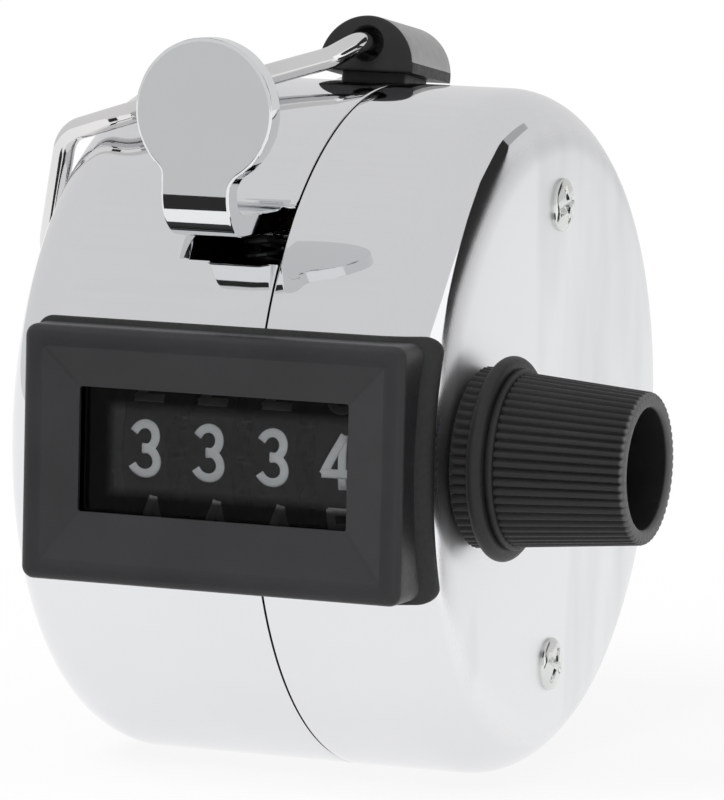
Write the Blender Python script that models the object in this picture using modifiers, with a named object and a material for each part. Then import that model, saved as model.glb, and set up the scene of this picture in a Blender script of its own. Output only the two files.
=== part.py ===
import math

import bmesh
import bpy
from mathutils import Matrix, Vector

# Sizes in millimetres. X runs to the knob side, Y to the back, Z up.
# The case seam is the plane x = 0 and the drum axis is the line y = z = 0.
mm = 0.001

# Clearances
seatGap = 0.3
runGap = 0.08
sideGap = 0.2
overlap = 0.1
cutMargin = 1.0
cutterTurn = math.radians(4.0)
emptySize = 2.0

# Facets of round shapes
drumSides = 56
wheelSides = 32
rodSides = 16
smallSides = 12
boreSides = 28
filletSteps = 4
cornerSegments = 3
edgeSegments = 2
linkSteps = 6
bendSteps = 5
eyeSteps = 16
padSteps = 28
bossSteps = 26
springSides = 12
wireSteps = 5
sharpAngle = math.radians(40.0)

# Case
caseRadius = 21.0
leftFaceX = -17.1
rightFaceX = 11.0
rimFillet = 4.0
caseWall = 0.7

# Number wheels and the shaft they run on
wheelAxisY = -13.15
wheelAxisZ = 0.0
wheelRadius = 7.25
wheelPitch = 4.1
firstWheelX = -7.2
wheelNames = ("thousands", "hundreds", "tens", "units")
rimHalfWidth = 1.45
rimInnerRadius = 5.2
webHalfWidth = 0.5
hubHalfWidth = 1.9
hubRadius = 2.6
shaftRadius = 1.5
shaftLeftX = -12.3

# Carry gears
gearTeeth = 20
pinionTeeth = 8
gearPitchRadius = 6.1
toothAddendum = 0.55
toothDedendum = 0.6
toothTipShare = 0.17
toothRootShare = 0.42
gearWidth = 0.7
pinionRadius = gearPitchRadius * pinionTeeth / gearTeeth
pinionDistance = gearPitchRadius + pinionRadius
pinionDirection = math.radians(-60.0)
pinionShaftRadius = 0.8
pinionSideGap = 0.1
lugOuterRadius = 5.4
lugInnerRadius = 4.2
lugHalfWidth = 0.5
lugReach = 0.4

# Bezel, gasket and lens
bezelLeftX = -14.15
bezelRightX = 10.1
bezelBottomZ = -7.95
bezelTopZ = 7.25
bezelFrontY = -22.8
bezelCornerRadius = 0.7
bezelEdgeRadius = 0.6
bezelBackY = -17.0
rimFlatWidth = 1.3
funnelDepth = 1.0
windowLeftX = -10.9
windowRightX = 6.3
windowBottomZ = -3.85
windowTopZ = 3.62
lensRim = 0.6
lensThickness = 0.4
lipThickness = 0.25
pocketWall = 0.6
pocketBackY = -20.6
gasketThickness = 0.4
gasketStep = 0.3
gasketRightStep = 0.65

# Thumb lever and its pivot
pivotY = -8.2
pivotZ = 13.2
pivotPinRadius = 1.0
sleeveRadius = 1.9
sleeveLeftX = -6.0
padX = -2.8
padZ = 20.25
padRadius = 4.32
neckX = -3.25
neckWidth = 4.3
leverFrontY = -23.0
leverThickness = 1.4
shankBottomZ = 12.8
bendRadius = 2.6
eyeWall = 0.8
slotLeftX = -6.0
slotBottomZ = 11.1
slotTopZ = 14.5

# Drive arm, pawl, ratchet wheel and detent
ratchetTeeth = 10
ratchetRadius = 2.6
ratchetRootRadius = 2.05
ratchetThickness = 0.6
pawlPinY = -9.3
pawlPinZ = 6.6
pawlPinRadius = 0.6
pawlTipY = -13.4
pawlTipZ = 3.15
pawlTipRadius = 0.2
pawlThickness = 0.5
armThickness = 0.6
armPivotRadius = 2.0
armEndRadius = 1.25
detentTipRadius = 0.25

# Frame
plateThickness = 0.8
leftPlateX = -10.5
plateRadius = 18.6
plateFrontY = -17.4
spacerRadius = 1.2
spacerEndRadius = 0.7
spacerPlaces = ((6.0, 8.0), (6.0, -8.0), (-12.0, -12.0))
bushRadius = 2.3
bushFlangeRadius = 2.9
bushFlangeThickness = 0.6
clipThickness = 0.6
clipMouthHalf = 1.2
clipMouthTop = -0.75
shelfFrontY = -14.2
shelfBackY = -11.8
shelfTopZ = 9.3
shelfThickness = 0.7
springX = -3.0
springY = -13.0
springRadius = 1.1
springWire = 0.15
springTurns = 3

# Case posts and screws
postZ = 14.1
postRadius = 1.6
postBoreDepth = 6.5
screwShankRadius = 0.8
screwHeadRadius = 1.65
screwHeadHeight = 0.5
screwRimHeight = 0.2
screwShoulderRadius = 1.35
screwShoulderHeight = 0.4
screwCrownRadius = 0.8
screwLength = 7.0
recessLength = 2.3
recessWidth = 0.45
recessDepth = 0.35

# Reset knob
knobLeftX = rightFaceX + seatGap
knobEndX = 21.8
collarLeftX = 12.5
collarRightX = 13.55
collarRadius = 6.1
collarEdge = 0.35
sleeveStartRadius = 5.4
sleeveEndRadius = 4.5
knobBoreRadius = 3.6
knobFloorX = 14.0
knobRibs = 48
ribDepth = 0.22
knobScrewHeadRadius = 2.5
knobScrewHeadHeight = 1.0
knobScrewRimHeight = 0.6
knobScrewCrownRadius = 1.75
knobScrewShankRadius = 0.7
knobScrewLength = 4.2

# Ring boss
bossX = -2.35
bossY = 3.9
bossZ = 21.45
bossTilt = math.radians(-8.5)
bossRadius = 3.12
bossLength = 6.7
bossFlat = -0.3
neckHalfWidth = 2.1
neckLength = 4.4
footHalfWidth = 3.0
footTop = -1.76
footBottom = -2.56
tunnelHeight = 1.38
tunnelRadius = 1.0

# Finger ring: corner points of the wire after it leaves the tunnel at the front, round to its back end
ringWire = 0.7
ringBend = 2.2
ringEndGap = 0.6
ringFrontReach = bossLength * 0.5 + 1.1
ringBackReach = bossLength * 0.5 + 1.2
ringBendShare = 0.45
ringCorners = (
    (-3.4, -2.5, 22.5),
    (-13.0, -12.0, 19.0),
    (-17.3, -10.5, 17.7),
    (-18.9, -9.1, 11.1),
    (-18.3, -8.0, -2.0),
    (-18.3, 12.5, -2.0),
    (-18.0, 16.5, 16.0),
)


def clearScene():
    for obj in list(bpy.data.objects):
        bpy.data.objects.remove(obj, do_unlink=True)


def makeCollection(name):
    collection = bpy.data.collections.new(name)
    bpy.context.scene.collection.children.link(collection)
    return collection


def makeMaterial(name, colour, roughness, metallic, alpha=1.0):
    material = bpy.data.materials.new(name)
    material.use_nodes = True
    shader = material.node_tree.nodes["Principled BSDF"]
    shader.inputs["Base Color"].default_value = (*colour, 1.0)
    shader.inputs["Roughness"].default_value = roughness
    shader.inputs["Metallic"].default_value = metallic
    shader.inputs["Alpha"].default_value = alpha
    return material


def makeEmpty(name, location, parent=None):
    empty = bpy.data.objects.new(name, None)
    empty.empty_display_size = emptySize * mm
    empty.location = Vector(location) * mm
    empty.parent = parent
    parts.objects.link(empty)
    return empty


def smooth(mesh):
    """Faces shade smooth, with the edges over the sharp angle kept sharp."""
    for polygon in mesh.polygons:
        polygon.use_smooth = True
    mesh.set_sharp_from_angle(angle=sharpAngle)


def addObject(name, mesh, axis, look):
    """Links a mesh whose points are given from the axis point; look None makes it a cutter."""
    smooth(mesh)
    obj = bpy.data.objects.new(name, mesh)
    obj.location = Vector(axis) * mm
    obj.parent = root
    if look is None:
        cutters.objects.link(obj)
        obj.hide_render = True
        obj.display_type = "WIRE"
    else:
        parts.objects.link(obj)
        mesh.materials.append(look)
    return obj


def signedVolume(obj):
    """Negative when the evaluated faces point inward."""
    bpy.context.view_layer.update()
    graph = bpy.context.evaluated_depsgraph_get()
    evaluated = obj.evaluated_get(graph)
    shape = bmesh.new()
    shape.from_mesh(evaluated.to_mesh())
    volume = shape.calc_volume(signed=True)
    shape.free()
    evaluated.to_mesh_clear()
    return volume


def turned(name, profile, axis, look, sides, closed):
    """A profile of (radius, x) pairs carried once round the X line through the axis point."""
    mesh = bpy.data.meshes.new(name)
    points = [(x * mm, 0.0, radius * mm) for radius, x in profile]
    edges = [(i, i + 1) for i in range(len(points) - 1)]
    if closed:
        edges.append((len(points) - 1, 0))
    mesh.from_pydata(points, edges, [])
    obj = addObject(name, mesh, axis, look)
    screw = obj.modifiers.new("turn", "SCREW")
    screw.axis = "X"
    screw.angle = 2.0 * math.pi
    screw.steps = sides
    screw.render_steps = sides
    screw.use_merge_vertices = True
    screw.merge_threshold = 0.000001
    screw.use_smooth_shade = True
    screw.use_normal_flip = signedVolume(obj) < 0.0
    return obj


def rod(name, leftX, rightX, radius, axis, look, sides=rodSides):
    profile = [(0.0, leftX), (radius, leftX), (radius, rightX), (0.0, rightX)]
    obj = turned(name, profile, axis, look, sides, False)
    if look is None:
        # A cutter's facets are turned off the edges that run out from the drum axis.
        obj.rotation_euler = (cutterTurn, 0.0, 0.0)
    return obj


def tube(name, leftX, rightX, innerRadius, outerRadius, axis, look, sides=rodSides):
    profile = [
        (innerRadius, leftX),
        (outerRadius, leftX),
        (outerRadius, rightX),
        (innerRadius, rightX),
    ]
    return turned(name, profile, axis, look, sides, True)


def boxMesh(name, low, high):
    mesh = bpy.data.meshes.new(name)
    shape = bmesh.new()
    bmesh.ops.create_cube(shape, size=1.0)
    for vertex in shape.verts:
        for i in range(3):
            share = vertex.co[i] + 0.5
            vertex.co[i] = (low[i] + share * (high[i] - low[i])) * mm
    shape.to_mesh(mesh)
    shape.free()
    return mesh


def box(name, low, high, look=None, axis=(0.0, 0.0, 0.0)):
    return addObject(name, boxMesh(name, low, high), axis, look)


def outlineMesh(name, loops, thickness):
    """A flat outline with its holes, filled and extruded to a plate about its own plane."""
    curve = bpy.data.curves.new(name, "CURVE")
    curve.dimensions = "2D"
    curve.fill_mode = "BOTH"
    curve.extrude = thickness * 0.5 * mm
    for loop in loops:
        spline = curve.splines.new("POLY")
        spline.points.add(len(loop) - 1)
        for point, (u, v) in zip(spline.points, loop):
            point.co = (u * mm, v * mm, 0.0, 1.0)
        spline.use_cyclic_u = True
    guide = bpy.data.objects.new(name + "_outline", curve)
    cutters.objects.link(guide)
    bpy.context.view_layer.update()
    graph = bpy.context.evaluated_depsgraph_get()
    mesh = bpy.data.meshes.new_from_object(guide.evaluated_get(graph))
    bpy.data.objects.remove(guide, do_unlink=True)
    shape = bmesh.new()
    shape.from_mesh(mesh)
    bmesh.ops.remove_doubles(shape, verts=shape.verts, dist=0.000001)
    bmesh.ops.recalc_face_normals(shape, faces=shape.faces)
    shape.to_mesh(mesh)
    shape.free()
    mesh.name = name
    return mesh


def sidePlate(name, loops, leftX, rightX, axis, look):
    """An outline in (y, z) from the axis point, extruded from leftX to rightX."""
    mesh = outlineMesh(name, loops, rightX - leftX)
    turn = Matrix(((0.0, 0.0, 1.0), (1.0, 0.0, 0.0), (0.0, 1.0, 0.0))).to_4x4()
    mesh.transform(Matrix.Translation(((leftX + rightX) * 0.5 * mm, 0.0, 0.0)) @ turn)
    return addObject(name, mesh, axis, look)


def frontPlate(name, loops, frontY, backY, axis, look):
    """An outline in (x, z) from the axis point, extruded from frontY to backY."""
    mesh = outlineMesh(name, loops, backY - frontY)
    turn = Matrix(((1.0, 0.0, 0.0), (0.0, 0.0, -1.0), (0.0, 1.0, 0.0))).to_4x4()
    mesh.transform(Matrix.Translation((0.0, (frontY + backY) * 0.5 * mm, 0.0)) @ turn)
    return addObject(name, mesh, axis, look)


def boolean(obj, other, operation="DIFFERENCE"):
    modifier = obj.modifiers.new(operation.lower(), "BOOLEAN")
    modifier.operation = operation
    modifier.solver = "EXACT"
    modifier.object = other


def cut(obj, *others):
    for other in others:
        boolean(obj, other)


def arc(centre, radius, start, end, steps):
    """Points on a circle from one angle to another, both ends included, in degrees."""
    points = []
    for i in range(steps + 1):
        angle = math.radians(start + (end - start) * i / steps)
        points.append((centre[0] + radius * math.cos(angle), centre[1] + radius * math.sin(angle)))
    return points


def circle(centre, radius, sides=rodSides):
    return arc(centre, radius, 0.0, 360.0 * (sides - 1) / sides, sides - 1)


def linkOutline(first, firstRadius, second, secondRadius):
    """The outline round two circles joined by their outer tangents."""
    dy = second[0] - first[0]
    dz = second[1] - first[1]
    heading = math.degrees(math.atan2(dz, dy))
    lean = math.degrees(math.acos((firstRadius - secondRadius) / math.hypot(dy, dz)))
    near = arc(first, firstRadius, heading + lean, heading + 360.0 - lean, linkSteps)
    far = arc(second, secondRadius, heading - lean, heading + lean, linkSteps)
    return near + far


def toothedOutline(teeth, pitchRadius, phase):
    """A spur gear outline with slim straight-sided teeth; phase is the angle of one tooth."""
    tip = pitchRadius + toothAddendum
    rootCircle = pitchRadius - toothDedendum
    pitch = 2.0 * math.pi / teeth
    arcPitch = pitch * pitchRadius
    tipHalf = 0.5 * toothTipShare * arcPitch / tip
    rootHalf = 0.5 * toothRootShare * arcPitch / rootCircle
    points = []
    for i in range(teeth):
        centre = phase + i * pitch
        for radius, angle in (
            (rootCircle, centre - rootHalf),
            (tip, centre - tipHalf),
            (tip, centre + tipHalf),
            (rootCircle, centre + rootHalf),
        ):
            points.append((radius * math.cos(angle), radius * math.sin(angle)))
    return points


def ratchetOutline():
    """Saw teeth that face the pawl's pull at the top of the wheel."""
    points = []
    for i in range(ratchetTeeth):
        start = math.radians(90.0 + 360.0 * i / ratchetTeeth)
        middle = start + math.pi / ratchetTeeth
        points.append((ratchetRadius * math.cos(start), ratchetRadius * math.sin(start)))
        points.append((ratchetRootRadius * math.cos(start), ratchetRootRadius * math.sin(start)))
        points.append((ratchetRootRadius * math.cos(middle), ratchetRootRadius * math.sin(middle)))
    return points


def caseOutside(grow):
    """The drum's solid outline as (radius, x) pairs, grown by a margin."""
    fillet = rimFillet + grow
    inner = caseRadius - rimFillet
    profile = [(0.0, leftFaceX - grow)]
    for radius, x in arc((inner, leftFaceX + rimFillet), fillet, -90.0, 0.0, filletSteps):
        profile.append((radius, x))
    for radius, x in arc((inner, rightFaceX - rimFillet), fillet, 0.0, 90.0, filletSteps):
        profile.append((radius, x))
    profile.append((0.0, rightFaceX + grow))
    return profile


def shellProfile(faceX, side):
    """A half case from the axis out over its face, round the rim to the seam, and back inside."""
    inner = caseRadius - rimFillet
    centreX = faceX - side * rimFillet
    seamX = side * seatGap * 0.5
    outside = [(r, centreX + side * x) for r, x in arc((inner, 0.0), rimFillet, 90.0, 0.0, filletSteps)]
    innerArc = arc((inner, 0.0), rimFillet - caseWall, 0.0, 90.0, filletSteps)
    inside = [(r, centreX + side * x) for r, x in innerArc]
    seam = [(caseRadius, seamX), (caseRadius - caseWall, seamX)]
    return [(0.0, faceX)] + outside + seam + inside + [(0.0, faceX - side * caseWall)]


def roundedBlock(name, low, high, cornerRadius, edgeRadius, look):
    """A block with rounded corners seen from the front and a rounded front edge."""
    mesh = boxMesh(name, low, high)
    shape = bmesh.new()
    shape.from_mesh(mesh)
    corners = [e for e in shape.edges if abs(e.verts[0].co.y - e.verts[1].co.y) > cutMargin * mm]
    bmesh.ops.bevel(
        shape,
        geom=corners,
        offset=cornerRadius * mm,
        segments=cornerSegments,
        profile=0.5,
        affect="EDGES",
    )
    front = low[1] * mm
    near = [e for e in shape.edges if all(abs(v.co.y - front) < overlap * mm for v in e.verts)]
    bmesh.ops.bevel(
        shape, geom=near, offset=edgeRadius * mm, segments=edgeSegments, profile=0.5, affect="EDGES"
    )
    bmesh.ops.recalc_face_normals(shape, faces=shape.faces)
    shape.to_mesh(mesh)
    shape.free()
    return addObject(name, mesh, (0.0, 0.0, 0.0), look)


def buildCase():
    left = turned("left_shell", shellProfile(leftFaceX, -1.0), origin, chrome, drumSides, False)
    right = turned("right_shell", shellProfile(rightFaceX, 1.0), origin, chrome, drumSides, False)
    windowCut = box(
        "window_cutter",
        (windowLeftX - frameReach, bezelFrontY - cutMargin, windowBottomZ - frameReach),
        (windowRightX + frameReach, bezelBackY, windowTopZ + frameReach),
    )
    slotCut = box(
        "lever_slot_cutter",
        (slotLeftX, -caseRadius - cutMargin, slotBottomZ),
        (cutMargin, pivotY - sleeveRadius, slotTopZ),
    )
    neckCut = box(
        "boss_neck_cutter",
        (-neckHalfWidth - seatGap, -neckLength * 0.5 - seatGap, footTop - seatGap),
        (cutMargin - bossX, neckLength * 0.5 + seatGap, 0.0),
        axis=(bossX, bossY, bossZ),
    )
    neckCut.rotation_euler = (bossTilt, 0.0, 0.0)
    cut(left, windowCut, slotCut, neckCut)
    shaftHole = rod(
        "shaft_hole_cutter",
        rightFaceX - rimFillet,
        rightFaceX + cutMargin,
        shaftRadius + 2.0 * seatGap,
        wheelAxis,
        None,
    )
    cut(right, windowCut, shaftHole)
    for z in (postZ, -postZ):
        hole = rod(
            "case_screw_hole_cutter",
            rightFaceX - rimFillet,
            rightFaceX + cutMargin,
            screwShankRadius + seatGap,
            (0.0, 0.0, z),
            None,
        )
        cut(right, hole)
    return windowCut


def buildBezel(windowCut):
    frame = roundedBlock(
        "bezel_frame",
        (bezelLeftX, bezelFrontY, bezelBottomZ),
        (bezelRightX, bezelBackY, bezelTopZ),
        bezelCornerRadius,
        bezelEdgeRadius,
        blackPlastic,
    )
    lipFrontY = bezelFrontY + funnelDepth
    lipBackY = lipFrontY + lipThickness
    funnel = box(
        "funnel_cutter",
        (windowLeftX, bezelFrontY - overlap, windowBottomZ),
        (windowRightX, lipFrontY, windowTopZ),
    )
    outerX = (bezelLeftX + rimFlatWidth, bezelRightX - rimFlatWidth)
    outerZ = (bezelBottomZ + rimFlatWidth, bezelTopZ - rimFlatWidth)
    middleX = (windowLeftX + windowRightX) * 0.5
    for vertex in funnel.data.vertices:
        if vertex.co.y < lipFrontY * mm - overlap * mm:
            vertex.co.x = outerX[vertex.co.x > middleX * mm] * mm
            vertex.co.z = outerZ[vertex.co.z > 0.0] * mm
    opening = box(
        "window_opening_cutter",
        (windowLeftX, bezelFrontY - cutMargin, windowBottomZ),
        (windowRightX, bezelBackY + cutMargin, windowTopZ),
    )
    pocketReach = lensRim + seatGap
    pocket = box(
        "lens_pocket_cutter",
        (windowLeftX - pocketReach, lipBackY, windowBottomZ - pocketReach),
        (windowRightX + pocketReach, bezelBackY + cutMargin, windowTopZ + pocketReach),
    )
    guard = box(
        "pocket_wall_guard",
        (windowLeftX - frameReach + seatGap, bezelFrontY - cutMargin, windowBottomZ - frameReach + seatGap),
        (windowRightX + frameReach - seatGap, pocketBackY, windowTopZ + frameReach - seatGap),
    )
    backGap = 2.0 * seatGap + gasketThickness
    drumSpace = turned("bezel_back_cutter", caseOutside(backGap), origin, None, drumSides, False)
    cut(drumSpace, guard)
    cut(frame, drumSpace, funnel, opening, pocket)

    gasket = box(
        "bezel_gasket",
        (bezelLeftX - gasketStep, -caseRadius - cutMargin, bezelBottomZ - gasketStep),
        (bezelRightX + gasketRightStep, bezelBackY, bezelTopZ + gasketStep),
        blackRubber,
    )
    outside = turned(
        "gasket_outside_guide", caseOutside(seatGap + gasketThickness), origin, None, drumSides, False
    )
    inside = turned("gasket_inside_cutter", caseOutside(seatGap), origin, None, drumSides, False)
    boolean(gasket, outside, "INTERSECT")
    cut(gasket, inside, windowCut)

    lensFrontY = lipBackY + seatGap
    box(
        "window_lens",
        (windowLeftX - lensRim, lensFrontY, windowBottomZ - lensRim),
        (windowRightX + lensRim, lensFrontY + lensThickness, windowTopZ + lensRim),
        clearPlastic,
    )


def buildFrame():
    for name, leftX in (("frame_plate_left", leftPlateX), ("frame_plate_right", rightPlateX)):
        rightX = leftX + plateThickness
        plate = rod(name, leftX, rightX, plateRadius, origin, steel, drumSides)
        front = box(
            name + "_front_cutter",
            (leftX - cutMargin, -caseRadius, -caseRadius),
            (rightX + cutMargin, plateFrontY, caseRadius),
        )
        cut(plate, front)
        holes = [
            (0.0, postZ, postRadius),
            (0.0, -postZ, postRadius),
            (wheelAxisY, wheelAxisZ, bushRadius),
            (pinionY, pinionZ, pinionShaftRadius),
            (pivotY, pivotZ, pivotPinRadius),
        ]
        holes += [(y, z, spacerEndRadius) for y, z in spacerPlaces]
        for y, z, radius in holes:
            hole = rod(
                name + "_hole_cutter",
                leftX - cutMargin,
                rightX + cutMargin,
                radius + seatGap,
                (0.0, y, z),
                None,
            )
            cut(plate, hole)
    innerLeftX = leftPlateX + plateThickness
    outerRightX = rightPlateX + plateThickness
    for label, (y, z) in zip(("upper", "lower", "front"), spacerPlaces):
        profile = [
            (0.0, leftPlateX),
            (spacerEndRadius, leftPlateX),
            (spacerEndRadius, innerLeftX + seatGap),
            (spacerRadius, innerLeftX + seatGap),
            (spacerRadius, rightPlateX - seatGap),
            (spacerEndRadius, rightPlateX - seatGap),
            (spacerEndRadius, outerRightX),
            (0.0, outerRightX),
        ]
        turned("frame_spacer_" + label, profile, (0.0, y, z), steel, smallSides, False)
    box(
        "spring_shelf",
        (innerLeftX + seatGap, shelfFrontY, shelfTopZ - shelfThickness),
        (rightPlateX - seatGap, shelfBackY, shelfTopZ),
        steel,
    )
    bore = shaftRadius + runGap
    leftBush = [
        (bore, leftPlateX - seatGap),
        (bushRadius, leftPlateX - seatGap),
        (bushRadius, innerLeftX + seatGap),
        (bore, innerLeftX + seatGap),
    ]
    turned("shaft_bush_left", leftBush, wheelAxis, brass, rodSides, True)
    flangeX = rightPlateX - seatGap
    rightBush = [
        (bore, flangeX - bushFlangeThickness),
        (bushFlangeRadius, flangeX - bushFlangeThickness),
        (bushFlangeRadius, flangeX),
        (bushRadius, flangeX),
        (bushRadius, outerRightX),
        (bore, outerRightX),
    ]
    turned("shaft_bush_right", rightBush, wheelAxis, brass, rodSides, True)
    rod("pinion_shaft", leftPlateX, outerRightX, pinionShaftRadius, pinionAxis, steel)
    rod("lever_pivot_pin", leftPlateX, outerRightX, pivotPinRadius, pivotAxis, steel)


def buildPostsAndScrews():
    postRightX = rightFaceX - caseWall - seatGap
    postLeftX = leftFaceX + caseWall + seatGap
    boreRadius = screwShankRadius + seatGap
    for label, z in (("upper", postZ), ("lower", -postZ)):
        axis = (0.0, 0.0, z)
        profile = [
            (0.0, postLeftX),
            (postRadius, postLeftX),
            (postRadius, postRightX),
            (boreRadius, postRightX),
            (boreRadius, postRightX - postBoreDepth),
            (0.0, postRightX - postBoreDepth),
        ]
        turned("case_post_" + label, profile, axis, steel, rodSides, False)
        headX = rightFaceX + seatGap
        crown = headX + screwHeadHeight
        screwProfile = [
            (0.0, headX - screwLength),
            (screwShankRadius, headX - screwLength),
            (screwShankRadius, headX),
            (screwHeadRadius, headX),
            (screwHeadRadius, headX + screwRimHeight),
            (screwShoulderRadius, headX + screwShoulderHeight),
            (screwCrownRadius, crown),
            (0.0, crown),
        ]
        screw = turned("case_screw_" + label, screwProfile, axis, chrome, rodSides, False)
        for tag, halfY, halfZ in (
            ("level", recessLength * 0.5, recessWidth * 0.5),
            ("upright", recessWidth * 0.5, recessLength * 0.5),
        ):
            slot = box(
                "case_screw_" + label + "_" + tag + "_cutter",
                (crown - recessDepth, -halfY, -halfZ),
                (crown + cutMargin, halfY, halfZ),
                axis=axis,
            )
            cut(screw, slot)


def wheelProfile(centreX):
    bore = shaftRadius + runGap
    half = [
        (bore, hubHalfWidth),
        (hubRadius, hubHalfWidth),
        (hubRadius, webHalfWidth),
        (rimInnerRadius, webHalfWidth),
        (rimInnerRadius, rimHalfWidth),
        (wheelRadius, rimHalfWidth),
    ]
    left = [(radius, centreX - x) for radius, x in half]
    right = [(radius, centreX + x) for radius, x in reversed(half)]
    return left + right


def buildWheels():
    meshPhase = pinionDirection + math.pi / gearTeeth
    for i, label in enumerate(wheelNames):
        centreX = firstWheelX + i * wheelPitch
        name = "wheel_" + label
        wheel = turned(name, wheelProfile(centreX), wheelAxis, blackPlastic, wheelSides, True)
        if i + 1 < len(wheelNames):
            faceX = centreX + rimHalfWidth
            outline = toothedOutline(gearTeeth, gearPitchRadius, meshPhase)
            bore = circle((0.0, 0.0), rimInnerRadius + overlap, wheelSides)
            gear = sidePlate(
                name + "_gear_ring", [outline, bore], faceX - overlap, faceX + gearWidth, wheelAxis, None
            )
            boolean(wheel, gear, "UNION")
        if i > 0:
            lug = box(
                name + "_carry_lug",
                (centreX - rimHalfWidth - lugReach, -lugHalfWidth, lugInnerRadius),
                (centreX, lugHalfWidth, lugOuterRadius),
                axis=wheelAxis,
            )
            boolean(wheel, lug, "UNION")

    ratchetLeftX = unitsX + hubHalfWidth + seatGap
    sidePlate(
        "ratchet_wheel",
        [ratchetOutline(), circle((0.0, 0.0), shaftRadius + runGap)],
        ratchetLeftX,
        ratchetLeftX + ratchetThickness,
        wheelAxis,
        steel,
    )
    for i, label in enumerate(wheelNames[:-1]):
        gapLeftX = firstWheelX + i * wheelPitch + rimHalfWidth
        gapRightX = gapLeftX + wheelPitch - 2.0 * rimHalfWidth
        outline = toothedOutline(pinionTeeth, pinionRadius, pinionDirection + math.pi)
        sidePlate(
            "carry_pinion_" + label,
            [outline, circle((0.0, 0.0), pinionShaftRadius + runGap, smallSides)],
            gapLeftX + pinionSideGap,
            gapRightX - pinionSideGap,
            pinionAxis,
            brass,
        )


def buildDetent():
    leftX = unitsX + hubHalfWidth + seatGap
    reach = pinionDistance - ratchetRadius - seatGap - detentTipRadius
    tip = (
        -reach * math.cos(pinionDirection),
        -reach * math.sin(pinionDirection),
    )
    outline = linkOutline((0.0, 0.0), spacerRadius + 2.0 * seatGap, tip, detentTipRadius)
    hole = circle((0.0, 0.0), pinionShaftRadius + seatGap, smallSides)
    sidePlate("detent_spring", [outline, hole], leftX, leftX + pawlThickness, pinionAxis, steel)


def buildShaftAndKnob():
    shaftRightX = knobFloorX - seatGap
    boreRadius = knobScrewShankRadius + seatGap
    boreDepth = knobScrewLength + seatGap
    profile = [
        (0.0, shaftLeftX),
        (shaftRadius, shaftLeftX),
        (shaftRadius, shaftRightX),
        (boreRadius, shaftRightX),
        (boreRadius, shaftRightX - boreDepth),
        (0.0, shaftRightX - boreDepth),
    ]
    turned("wheel_shaft", profile, wheelAxis, steel, rodSides, False)

    clipRightX = leftPlateX - 2.0 * seatGap
    clip = tube(
        "shaft_clip",
        clipRightX - clipThickness,
        clipRightX,
        shaftRadius + seatGap,
        bushFlangeRadius,
        wheelAxis,
        steel,
    )
    mouth = box(
        "shaft_clip_mouth_cutter",
        (clipRightX - cutMargin, -clipMouthHalf, -bushFlangeRadius - cutMargin),
        (clipRightX + cutMargin, clipMouthHalf, clipMouthTop),
        axis=wheelAxis,
    )
    cut(clip, mouth)

    knob = ribbedSleeve("reset_knob", knobLeftX, knobEndX, sleeveStartRadius, sleeveEndRadius, blackPlastic)
    collar = [
        (shaftRadius + cutMargin, collarLeftX),
        (collarRadius - collarEdge, collarLeftX),
        (collarRadius, collarLeftX + collarEdge),
        (collarRadius, collarRightX - collarEdge),
        (collarRadius - collarEdge, collarRightX),
        (shaftRadius + cutMargin, collarRightX),
    ]
    flange = turned("knob_collar_shape", collar, wheelAxis, None, drumSides, True)
    boolean(knob, flange, "UNION")
    bore = rod(
        "knob_bore_cutter",
        knobFloorX,
        knobEndX + cutMargin,
        knobBoreRadius,
        wheelAxis,
        None,
        boreSides,
    )
    shaftBore = rod(
        "knob_shaft_cutter",
        knobLeftX - cutMargin,
        knobFloorX + cutMargin,
        shaftRadius + seatGap,
        wheelAxis,
        None,
    )
    cut(knob, bore, shaftBore)

    headX = knobFloorX + seatGap
    crown = headX + knobScrewHeadHeight
    screwProfile = [
        (0.0, headX - knobScrewLength),
        (knobScrewShankRadius, headX - knobScrewLength),
        (knobScrewShankRadius, headX),
        (knobScrewHeadRadius, headX),
        (knobScrewHeadRadius, headX + knobScrewRimHeight),
        (knobScrewCrownRadius, crown),
        (0.0, crown),
    ]
    screw = turned("knob_screw", screwProfile, wheelAxis, steel, rodSides, False)
    slot = box(
        "knob_screw_slot_cutter",
        (crown - recessDepth, -knobScrewHeadRadius - cutMargin, -recessWidth * 0.5),
        (crown + cutMargin, knobScrewHeadRadius + cutMargin, recessWidth * 0.5),
        axis=wheelAxis,
    )
    cut(screw, slot)


def ribbedSleeve(name, leftX, rightX, leftRadius, rightRadius, look):
    """A cone with two sides per rib, its every other edge drawn in by the rib depth."""
    mesh = bpy.data.meshes.new(name)
    shape = bmesh.new()
    sides = 2 * knobRibs
    bmesh.ops.create_cone(
        shape,
        cap_ends=True,
        segments=sides,
        radius1=leftRadius * mm,
        radius2=rightRadius * mm,
        depth=(rightX - leftX) * mm,
    )
    for vertex in shape.verts:
        turn = math.atan2(vertex.co.y, vertex.co.x) / (2.0 * math.pi) * sides
        if round(turn) % 2:
            radius = math.hypot(vertex.co.x, vertex.co.y)
            vertex.co.xy *= (radius - ribDepth * mm) / radius
    turn = Matrix.Rotation(math.pi * 0.5, 4, "Y")
    move = Matrix.Translation(((leftX + rightX) * 0.5 * mm, 0.0, 0.0))
    bmesh.ops.transform(shape, matrix=move @ turn, verts=shape.verts)
    shape.to_mesh(mesh)
    shape.free()
    return addObject(name, mesh, wheelAxis, look)


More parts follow.
